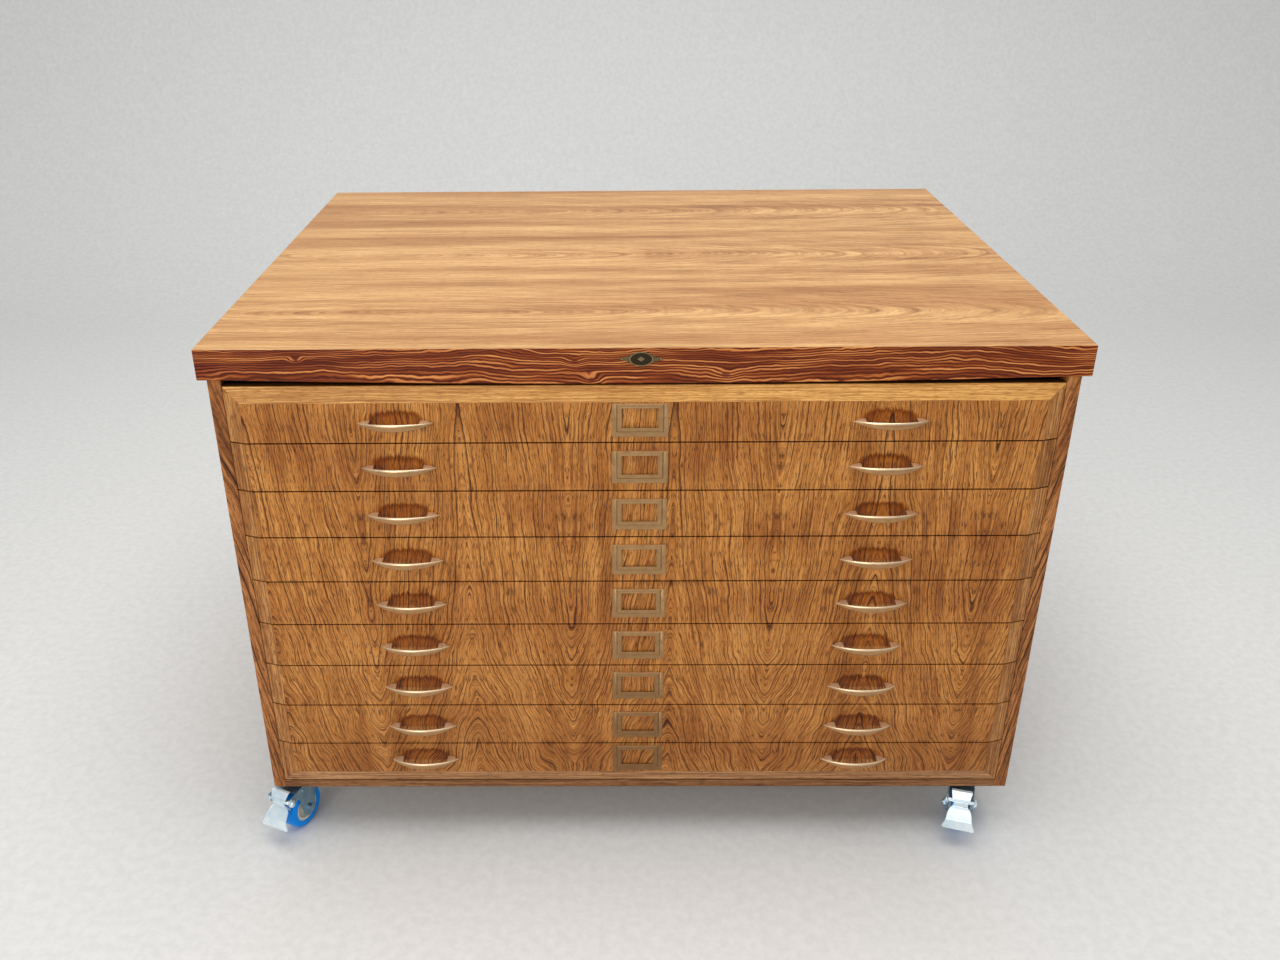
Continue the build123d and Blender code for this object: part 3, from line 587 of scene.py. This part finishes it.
def nameplate_bronze(middle):
    """Olive bronze, with a painted highlight on the rim and nearly black inside it."""
    graph = Graph("dark_bronze")
    x, y, z = graph.split(graph.point())
    cloud = graph.noise(graph.point(), 300.0, 4.0, 0.6)
    side = graph.mul(graph.sub(x, middle.x), 1.0 / NAMEPLATE_OVAL[0])
    rise = graph.mul(graph.sub(z, middle.z), 1.0 / NAMEPLATE_OVAL[1])
    outwards = graph.add(graph.mul(side, side), graph.mul(rise, rise))
    depth = graph.sub(EDGING_LOW.y, y)
    inside = graph.range(outwards, 0.74, 0.84, 1.0, 0.0)
    sunk = graph.mul(inside, graph.range(depth, 0.0014, 0.0018, 1.0, 0.0))
    shade = graph.mix(graph.range(cloud, 0.3, 0.7), tone(84, 72, 46), tone(122, 106, 72))
    # painted highlight along the crest of the rim, which stands furthest from the face
    shade = graph.mix(graph.range(depth, 0.0016, 0.0024, 0.0, 0.5), shade, tone(196, 178, 136))
    shade = graph.mix(graph.mul(sunk, 0.9), shade, tone(44, 32, 20))
    return graph.finish(Base_Color=shade, Metallic=0.8, Roughness=graph.range(cloud, 0.3, 0.7, 0.36, 0.52))


def zinc(name, bright, dull, metallic):
    """Zinc plate with a faint blue cast."""
    graph = Graph(name)
    point = graph.point()
    cloud = graph.noise(point, 45.0, 3.0, 0.5)
    fine = graph.noise(point, 700.0, 2.0, 0.5)
    shade = graph.mix(graph.range(cloud, 0.35, 0.7), bright, dull)
    graph.bump(fine, 0.00003, 0.2)
    rough = graph.range(cloud, 0.3, 0.7, 0.28, 0.36)
    return graph.finish(Base_Color=shade, Metallic=metallic, Roughness=rough)


def polyurethane():
    graph = Graph("blue_tread")
    scuff = graph.noise(graph.point(), 240.0, 4.0, 0.65)
    shade = graph.mix(graph.range(scuff, 0.45, 0.75, 0.0, 0.4), tone(0, 148, 248), tone(0, 114, 212))
    graph.bump(scuff, 0.00008, 0.4)
    rough = graph.range(scuff, 0.3, 0.7, 0.34, 0.48)
    return graph.finish(Base_Color=shade, Roughness=rough, Specular_IOR_Level=0.15)


def hub_plastic():
    graph = Graph("hub_plastic")
    fleck = graph.noise(graph.point(), 700.0, 3.0, 0.6)
    shade = graph.mix(graph.range(fleck, 0.35, 0.7), tone(228, 226, 214), tone(206, 202, 188))
    graph.bump(fleck, 0.00006, 0.4)
    return graph.finish(Base_Color=shade, Roughness=0.55)


# ================================================================ meshes

def new_piece(name, mesh, material, body, node, arris=0.0, sharp_angle=35.0):
    """Make an object of a bmesh, give it its finish and rounded edges, and let it ride on a body.

    node is the CAD node that it replaces, or is one piece of.
    """
    bmesh.ops.recalc_face_normals(mesh, faces=mesh.faces)
    data = bpy.data.meshes.new(name)
    mesh.to_mesh(data)
    mesh.free()
    data.shade_smooth()
    data.set_sharp_from_angle(angle=math.radians(sharp_angle))
    data.materials.append(material)
    piece = bpy.data.objects.new(name, data)
    bpy.context.scene.collection.objects.link(piece)
    if arris:
        round_edges(piece, arris)
    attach(piece, body)
    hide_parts(node)


def round_edges(piece, width, weld=False):
    """Small rounding along every crisp edge."""
    if weld:
        joined = piece.modifiers.new("Weld", "WELD")
        joined.merge_threshold = 0.00001
    bevel = piece.modifiers.new("Bevel", "BEVEL")
    bevel.width = width
    bevel.segments = 2
    bevel.limit_method = "ANGLE"
    bevel.angle_limit = math.radians(35)
    bevel.harden_normals = True


def prism(outline, axis, low, high):
    """Closed bar with the given outline in the two other axes, in X, Y, Z order.

    low and high are its ends along axis. Each may be a function of an outline point, for a mitred end.
    """
    def at(end, point):
        return end(*point) if callable(end) else end

    def place(point, end):
        coordinates = list(point)
        coordinates.insert("XYZ".index(axis), at(end, point))
        return coordinates

    mesh = bmesh.new()
    starts = [mesh.verts.new(place(point, low)) for point in outline]
    ends = [mesh.verts.new(place(point, high)) for point in outline]
    count = len(outline)
    for index in range(count):
        following = (index + 1) % count
        mesh.faces.new((starts[index], starts[following], ends[following], ends[index]))
    mesh.faces.new(starts)
    mesh.faces.new(ends)
    return mesh


def rectangle(low, high):
    return [(low[0], low[1]), (high[0], low[1]), (high[0], high[1]), (low[0], high[1])]


def skin(mesh, loops, closed_ends=True):
    """Join rings of vertices, all with the same count, into a tube in an open bmesh.

    Without closed ends, the last ring joins up with the first.
    """
    rows = [[mesh.verts.new(point) for point in loop] for loop in loops]
    count = len(rows[0])
    for row, following in zip(rows, rows[1:]):
        for index in range(count):
            after = (index + 1) % count
            mesh.faces.new((row[index], row[after], following[after], following[index]))
    if closed_ends:
        mesh.faces.new(rows[0])
        mesh.faces.new(rows[-1])
    else:
        for index in range(count):
            after = (index + 1) % count
            mesh.faces.new((rows[-1][index], rows[-1][after], rows[0][after], rows[0][index]))


def lathe(mesh, profile, centre, axis):
    """Turned solid in an open bmesh: (radius, height) pairs, height measured from centre along axis."""
    turn = Vector(axis).to_track_quat("Z", "X").to_matrix()
    steps = 24
    loops = []
    for radius, height in profile:
        loop = []
        for index in range(steps):
            angle = 2 * math.pi * index / steps
            arm = Vector((radius * math.cos(angle), radius * math.sin(angle), height))
            loop.append(Vector(centre) + turn @ arm)
        loops.append(loop)
    skin(mesh, loops)


def dome(radius, start, height):
    """Profile of a rounded rivet or pin head for lathe()."""
    profile = [(radius, start - height * 0.4), (radius, start)]
    for degrees in (35, 60, 80):
        angle = math.radians(degrees)
        profile.append((radius * math.cos(angle), start + height * math.sin(angle)))
    return profile


def rounded(points, passes=2):
    """Cut the corners of an open line of points again and again; its ends stay."""
    for _ in range(passes):
        cut = [points[0]]
        for a, b in zip(points, points[1:]):
            cut.append(tuple(0.75 * p + 0.25 * q for p, q in zip(a, b)))
            cut.append(tuple(0.25 * p + 0.75 * q for p, q in zip(a, b)))
        points = [*cut, points[-1]]
    return points


def band(mesh, path, thickness, place, edge=0.0006):
    """Bent strip in an open bmesh, from (u, v, half width) stations.

    place makes a point from a distance across the strip, u and v.
    """
    loops = []
    for index, (u, v, half) in enumerate(path):
        before, after = path[max(index - 1, 0)], path[min(index + 1, len(path) - 1)]
        along = Vector((after[0] - before[0], after[1] - before[1])).normalized()
        normal = Vector((-along.y, along.x))
        loop = []
        for w, t in ((-1, -1), (1, -1), (1, 1), (-1, 1)):
            corners = [(half, thickness / 2 - edge), (half - edge, thickness / 2)]
            if w == t:
                corners.reverse()
            for wide, thick in corners:
                loop.append(place(w * wide, u + normal.x * t * thick, v + normal.y * t * thick))
        loops.append(loop)
    skin(mesh, loops)


# ================================================================ drawer fronts

def make_drawer_front(number, field_material, side_material, long_material):
    """Veneered field and its bevelled lippings, mitred where the long lippings meet the side ones."""
    node = f"drawer_{number}_front"
    body = f"drawer_{number}"
    low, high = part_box(node)[0].z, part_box(node)[1].z
    field_half = FRONT_HALF - BEVEL_WIDTH
    has_top = number == 1
    has_bottom = number == DRAWER_COUNT
    field_low = low + BEVEL_WIDTH * has_bottom
    field_high = high - BEVEL_WIDTH * has_top

    field = prism(rectangle((-field_half, field_low), (field_half, field_high)), "Y", FACE_Y, FRONT_BACK_Y)
    new_piece(f"drawer_{number}_field", field, field_material, body, node, ARRIS)

    def mitred_high(x, y):
        return high - (FRONT_HALF - abs(x)) * has_top

    def mitred_low(x, y):
        return low + (FRONT_HALF - abs(x)) * has_bottom

    for side, word in ((-1, "left"), (1, "right")):
        outline = [
            (side * field_half, FACE_Y), (side * FRONT_HALF, FACE_Y + BEVEL_DEPTH),
            (side * FRONT_HALF, FRONT_BACK_Y), (side * field_half, FRONT_BACK_Y),
        ]
        lipping = prism(outline, "Z", mitred_low, mitred_high)
        new_piece(f"drawer_{number}_lipping_{word}", lipping, side_material, body, node,
                  ARRIS)

    for wanted, edge, inwards, word in ((has_top, high, -1, "top"), (has_bottom, low, 1, "bottom")):
        if wanted:
            outline = [
                (FACE_Y, edge + inwards * BEVEL_WIDTH), (FACE_Y + BEVEL_DEPTH, edge),
                (FRONT_BACK_Y, edge), (FRONT_BACK_Y, edge + inwards * BEVEL_WIDTH),
            ]

            def far_end(y, z):
                return FRONT_HALF - abs(edge - z)

            def near_end(y, z):
                return abs(edge - z) - FRONT_HALF

            lipping = prism(outline, "X", near_end, far_end)
            new_piece(f"drawer_{number}_lipping_{word}", lipping, long_material[word], body, node,
                      ARRIS)


# ================================================================ pulls

def oblong(x, front, back, half_height, squareness):
    """Loop round a bar along X, between two distances from the face and half_height above and below."""
    middle, half_depth = (front + back) / 2, (back - front) / 2
    steps = 24
    loop = []
    for index in range(steps):
        angle = 2 * math.pi * (index + 0.5) / steps
        c, s = math.cos(angle), math.sin(angle)
        depth = half_depth * math.copysign(abs(c) ** squareness, c)
        rise = half_height * math.copysign(abs(s) ** squareness, s)
        loop.append((x, middle + depth, rise))
    return loop


def bar_section(x):
    """Front, back and half height of a pull's bow at a distance x from its middle."""
    bow = PULL_STANDOFF - PULL_TIP_STANDOFF
    radius = (PULL_HALF_LENGTH ** 2 + bow ** 2) / (2 * bow)
    front = radius - PULL_STANDOFF - math.sqrt(radius ** 2 - x ** 2)
    share = abs(x) / PULL_HALF_LENGTH
    half_height = PULL_HALF_HEIGHT * (1 - share ** 2.2) + PULL_TIP_HALF_HEIGHT
    return front, front + PULL_BAR_THICKNESS * (1 - 0.7 * share ** 2), half_height


def pull_mesh():
    """One bow pull, its middle on the origin and its feet in the plane y = 0."""
    mesh = bmesh.new()
    steps = 44
    loops = []
    for index in range(-steps, steps + 1):
        x = PULL_HALF_LENGTH * index / steps
        loops.append(oblong(x, *bar_section(x), 0.74))
    skin(mesh, loops)
    # each foot is widest at the face and runs out along the back of the bow
    for side in (-1, 1):
        loops = []
        for index in range(PULL_FOOT_STEPS + 1):
            x = PULL_FOOT_INNER + (PULL_FOOT_END - PULL_FOOT_INNER) * index / PULL_FOOT_STEPS
            front, back, half_height = bar_section(x)
            lift = max(0.0, (x - PULL_FOOT_OUTER) / (PULL_FOOT_END - PULL_FOOT_OUTER))
            foot_back = (back - 0.0004) * lift ** 0.8
            loops.append(oblong(side * x, (front + back) / 2, foot_back, half_height * 0.86, 0.55))
        skin(mesh, loops)
    return mesh


def make_pulls(number, middle_z, material):
    for side, word in ((-1, "left"), (1, "right")):
        mesh = pull_mesh()
        mesh.transform(Matrix.Translation((side * PULL_X, FACE_Y, middle_z)))
        new_piece(f"drawer_{number}_pull_{word}", mesh, material, f"drawer_{number}",
                  f"drawer_{number}_pulls", sharp_angle=50)


# ================================================================ label frames and nameplate

def make_label_frame(number, material):
    """Stamped card holder: flat flange, raised pocket that is open at the top, and a lip round its window."""
    node = f"drawer_{number}_label_frame"
    low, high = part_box(node)
    middle = (low + high) / 2
    half_x, half_z = (high.x - low.x) / 2, (high.z - low.z) / 2
    window_x, window_low, window_high = LABEL_WINDOW
    # half width, lower edge, upper edge and distance from the face of each ring, from the outside inwards
    rings_of_frame = [
        (half_x, -half_z, half_z, 0.0), (half_x, -half_z, half_z, 0.0010),
        (half_x - 0.006, 0.0070 - half_z, half_z - 0.0003, 0.0010),
        (half_x - 0.008, 0.0092 - half_z, half_z - 0.0012, 0.0032),
        (window_x + 0.0026, window_low - 0.0026, window_high + 0.0022, 0.0031),
        (window_x + 0.0013, window_low - 0.0013, window_high + 0.0011, 0.0037),
        (window_x, window_low, window_high, 0.0035),
        (window_x, window_low, window_high, 0.0022),
        (window_x + 0.0040, window_low - 0.0040, window_high + 0.0020, 0.0022),
        (window_x + 0.0050, window_low - 0.0050, window_high + 0.0025, 0.0),
    ]
    loops = []
    for ring_x, ring_low, ring_high, depth in rings_of_frame:
        y = FACE_Y - depth
        loops.append([
            (middle.x - ring_x, y, middle.z + ring_low), (middle.x + ring_x, y, middle.z + ring_low),
            (middle.x + ring_x, y, middle.z + ring_high), (middle.x - ring_x, y, middle.z + ring_high),
        ])
    mesh = bmesh.new()
    skin(mesh, loops, closed_ends=False)
    pin_z = middle.z + (window_low + window_high) / 2
    for side in (-1, 1):
        centre = (middle.x + side * LABEL_PIN_X, FACE_Y, pin_z)
        lathe(mesh, dome(PIN_RADIUS, 0.0010, 0.0008), centre, (0, -1, 0))
    new_piece(f"drawer_{number}_card_frame", mesh, material, f"drawer_{number}", node,
              CARD_FRAME_ARRIS)


def make_nameplate():
    """Oval medallion with a sunk field, a plain lozenge in it, and two pinned wings."""
    low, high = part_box("nameplate")
    middle = (low + high) / 2
    material = nameplate_bronze(middle)
    oval_x, oval_z = NAMEPLATE_OVAL
    front = EDGING_LOW.y

    def half_height(x):
        oval = oval_z * math.sqrt(max(0.0, 1 - (x / oval_x) ** 2))
        out = NAMEPLATE_HALF_LENGTH - abs(x)
        wing = WING_TIP_HALF_HEIGHT + WING_GROWTH * (max(out, 0.0) / WING_LENGTH) ** 1.5
        end = min(1.0, math.sqrt(max(out, 0.0) / NAMEPLATE_TIP_ROUNDING))
        return max(oval, min(wing, WING_MOST)) * end

    steps = 72
    xs = [-NAMEPLATE_HALF_LENGTH * math.cos(math.pi * index / steps) for index in range(steps + 1)]
    upper = [(x, half_height(x)) for x in xs]
    lower = [(x, -h) for x, h in reversed(upper[1:-1])]
    outline = [(middle.x + x, middle.z + z) for x, z in upper + lower]
    base = prism(outline, "Y", front - NAMEPLATE_BASE, front)
    # rim round the field
    rim_steps = 64
    loops = []
    for share, depth in RIM:
        loop = []
        for index in range(rim_steps):
            angle = 2 * math.pi * index / rim_steps
            loop.append((middle.x + oval_x * share * math.cos(angle), front - depth,
                         middle.z + oval_z * share * math.sin(angle)))
        loops.append(loop)
    skin(base, loops, closed_ends=False)
    # lozenge in the middle of the field
    loops = []
    for share, depth in LOZENGE_RINGS:
        x, z = LOZENGE[0] * share, LOZENGE[1] * share
        loops.append([
            (middle.x + x, front - depth, middle.z), (middle.x, front - depth, middle.z + z),
            (middle.x - x, front - depth, middle.z), (middle.x, front - depth, middle.z - z),
        ])
    skin(base, loops)
    for side in (-1, 1):
        centre = (middle.x + side * (NAMEPLATE_HALF_LENGTH - NAMEPLATE_PIN_INSET), front, middle.z)
        lathe(base, dome(PIN_RADIUS, NAMEPLATE_BASE, 0.0009), centre, (0, -1, 0))
    new_piece("medallion", base, material, "cabinet_case", "nameplate", MEDALLION_ARRIS,
              sharp_angle=30)


# ================================================================ brake pedals

def make_brake_pedal(corner, material):
    """Pressed steel foot pedal: folded lip, stepped neck, yoke bar with two ears, and release tab."""
    joints = {joint["name"]: joint for joint in frame["joints"]}
    swivel = joints[f"swivel_{corner}"]["pos_m"]
    axle = Vector(joints[f"brake_{corner}_pedal"]["axis"])
    mesh = bmesh.new()

    def sheet_place(width, u, v):
        return width, u, v

    for path in (PEDAL_PAN, PEDAL_TAB, PEDAL_SHOE):
        band(mesh, rounded(path), SHEET, sheet_place)

    bar_middle = (PEDAL_BAR_LOW + PEDAL_BAR_HIGH) / 2
    bar_half = (PEDAL_BAR_HIGH - PEDAL_BAR_LOW) / 2
    bar = [(x, y, bar_half) for x, y in rounded(PEDAL_BAR, 3)]
    band(mesh, bar, SHEET + 0.0008, lambda width, u, v: (u, v, bar_middle + width), 0.0012)

    pivot_y, pivot_z = PEDAL_PIVOT
    ear_inner, ear_outer, ear_radius = PEDAL_EAR
    rivet_end, rivet_radius = PEDAL_RIVET
    rivet_height = rivet_end - ear_outer
    for side in (-1, 1):
        axis = (side, 0, 0)
        ear = [(ear_radius - 0.0004, ear_inner), (ear_radius, ear_inner + 0.0004),
               (ear_radius, ear_outer - 0.0004), (ear_radius - 0.0004, ear_outer)]
        lathe(mesh, ear, (0, pivot_y, pivot_z), axis)
        rivet = dome(rivet_radius, ear_outer + rivet_height * 0.3, rivet_height * 0.7)
        lathe(mesh, rivet, (0, pivot_y, pivot_z), axis)
    pin_half = (ear_inner + ear_outer) / 2
    lathe(mesh, [(0.003, -pin_half), (0.003, pin_half)], (0, pivot_y, pivot_z), (1, 0, 0))

    forward = Vector((-axle.y, axle.x, 0.0))
    turn = Matrix((axle, forward, Vector((0, 0, 1)))).transposed().to_4x4()
    mesh.transform(Matrix.Translation((swivel[0], swivel[1], 0.0)) @ turn)
    new_piece(f"pedal_{corner}", mesh, material, f"brake_{corner}", f"brake_pedal_{corner}",
              sharp_angle=42)


# ================================================================ camera, light and floor

def make_camera():
    forward = Vector((
        math.sin(CAMERA_YAW) * math.cos(CAMERA_PITCH),
        math.cos(CAMERA_YAW) * math.cos(CAMERA_PITCH),
        -math.sin(CAMERA_PITCH),
    ))
    right = Vector((math.cos(CAMERA_YAW), -math.sin(CAMERA_YAW), 0.0))
    down = forward.cross(right)
    c, s = math.cos(CAMERA_ROLL), math.sin(CAMERA_ROLL)
    turned_right = c * right + s * down
    turned_down = c * down - s * right
    turn = Matrix((turned_right, -turned_down, -forward)).transposed()
    data = bpy.data.cameras.new("camera")
    data.lens = CAMERA_LENS
    data.sensor_width = 36.0
    data.shift_x, data.shift_y = CAMERA_SHIFT
    camera = bpy.data.objects.new("camera", data)
    camera.matrix_world = Matrix.Translation(CAMERA_PLACE) @ turn.to_4x4()
    bpy.context.scene.collection.objects.link(camera)
    bpy.context.scene.camera = camera


def area_light(name, place, target, size, power, colour):
    data = bpy.data.lights.new(name, "AREA")
    data.shape = "DISK"
    data.size = size
    data.energy = power
    data.color = colour
    light = bpy.data.objects.new(name, data)
    light.location = place
    light.rotation_euler = (Vector(target) - Vector(place)).to_track_quat("-Z", "Y").to_euler()
    bpy.context.scene.collection.objects.link(light)


def make_floor():
    """Pale floor that curves up into a pale backdrop."""
    graph = Graph("pale_floor")
    speck = graph.noise(graph.point(), 60.0, 5.0, 0.65)
    shade = graph.mix(graph.range(speck, 0.3, 0.7), (0.60, 0.60, 0.59), (0.66, 0.66, 0.65))
    floor_material = graph.finish(Base_Color=shade, Roughness=0.8)
    profile = [(FLOOR_FRONT_Y, 0.0), (FLOOR_BEND_Y, 0.0)]
    for index in range(1, FLOOR_BEND_STEPS + 1):
        angle = math.pi / 2 * index / FLOOR_BEND_STEPS
        along, up = math.sin(angle), 1 - math.cos(angle)
        profile.append((FLOOR_BEND_Y + FLOOR_BEND_RADIUS * along, FLOOR_BEND_RADIUS * up))
    profile.append((FLOOR_BEND_Y + FLOOR_BEND_RADIUS, BACKDROP_HIGH))
    mesh = bmesh.new()
    rows = [[mesh.verts.new((x, y, z)) for y, z in profile] for x in (-FLOOR_HALF_WIDTH, FLOOR_HALF_WIDTH)]
    for index in range(len(profile) - 1):
        mesh.faces.new((rows[0][index], rows[1][index], rows[1][index + 1], rows[0][index + 1]))
    data = bpy.data.meshes.new("floor")
    mesh.to_mesh(data)
    mesh.free()
    data.shade_smooth()
    data.materials.append(floor_material)
    floor = bpy.data.objects.new("floor", data)
    bpy.context.scene.collection.objects.link(floor)
    floor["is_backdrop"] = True


def make_light():
    """Pale surroundings, and soft light from above and in front."""
    world = bpy.data.worlds.new("studio")
    world.use_nodes = True
    background = world.node_tree.nodes["Background"]
    background.inputs[0].default_value = (0.93, 0.96, 1.0, 1.0)
    background.inputs[1].default_value = 0.55
    bpy.context.scene.world = world
    area_light("sky", (0.0, -0.4, 4.2), (0.0, 0.1, 0.6), 4.0, 150.0, (1.0, 0.98, 0.95))
    area_light("front", (-1.6, -4.2, 2.2), (0.0, -0.3, 0.5), 2.6, 70.0, (1.0, 0.97, 0.94))
    bpy.context.scene.view_settings.view_transform = "Standard"


# ================================================================ put together

def paint(node, material, arris=0.0):
    """Give a CAD node its finish and, where it has crisp edges, a small rounding."""
    piece = frame["nodes"][node]
    piece.data.materials.clear()
    piece.data.materials.append(material)
    if arris:
        round_edges(piece, arris, weld=True)


def main():
    make_camera()
    make_floor()
    make_light()

    side_lipping = lipping_wood("side_lipping_wood", "Z", SIDE_LIPPING_TONES, 13.0)
    long_lipping = {
        "top": lipping_wood("top_lipping_wood", "X", TOP_LIPPING_TONES, 17.0, 0.6),
        "bottom": lipping_wood("bottom_lipping_wood", "X", LOW_LIPPING_TONES, 23.0),
    }
    case = case_wood("case_wood")
    box = plain_board("drawer_box_wood", "Y", BOX_TONES)
    hidden = plain_board("hidden_wood", "X", HIDDEN_TONES)
    brass = aged_brass()
    pedal_zinc = zinc("pedal_zinc", tone(236, 247, 252), tone(212, 230, 240), 0.7)
    fork_zinc = zinc("fork_zinc", tone(152, 182, 200), tone(118, 148, 168), 0.9)
    tread = polyurethane()
    hub = hub_plastic()

    for number in range(1, DRAWER_COUNT + 1):
        low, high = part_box(f"drawer_{number}_pulls")
        pull_z = (low.z + high.z) / 2
        make_drawer_front(number, drawer_veneer(number, pull_z), side_lipping, long_lipping)
        make_pulls(number, pull_z, pull_bronze(number, pull_z))
        paint(f"drawer_{number}_box", box, ARRIS)
        make_label_frame(number, brass)

    paint("top_panel", top_veneer(), ARRIS)
    paint("top_edging", fir_edging(), EDGING_ARRIS)
    for node in ("case_left_side", "case_right_side"):
        paint(node, case, ARRIS)
    paint("case_front_rails", rail_wood(), ARRIS)
    paint("case_back", case_wood("back_panel"), ARRIS)
    paint("case_bottom", hidden, ARRIS)
    paint("drawer_runners", hidden, ARRIS)
    make_nameplate()
    paint("caster_plates", fork_zinc, METAL_ARRIS)
    for node in frame["nodes"]:
        if node.startswith("caster_fork"):
            paint(node, fork_zinc, METAL_ARRIS)
        if node.startswith("brake_pedal"):
            make_brake_pedal(node.removeprefix("brake_pedal_"), pedal_zinc)
        if node.startswith("caster_tyre"):
            paint(node, tread)
        if node.startswith("caster_hub"):
            paint(node, hub, METAL_ARRIS)

    low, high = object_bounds()


main()
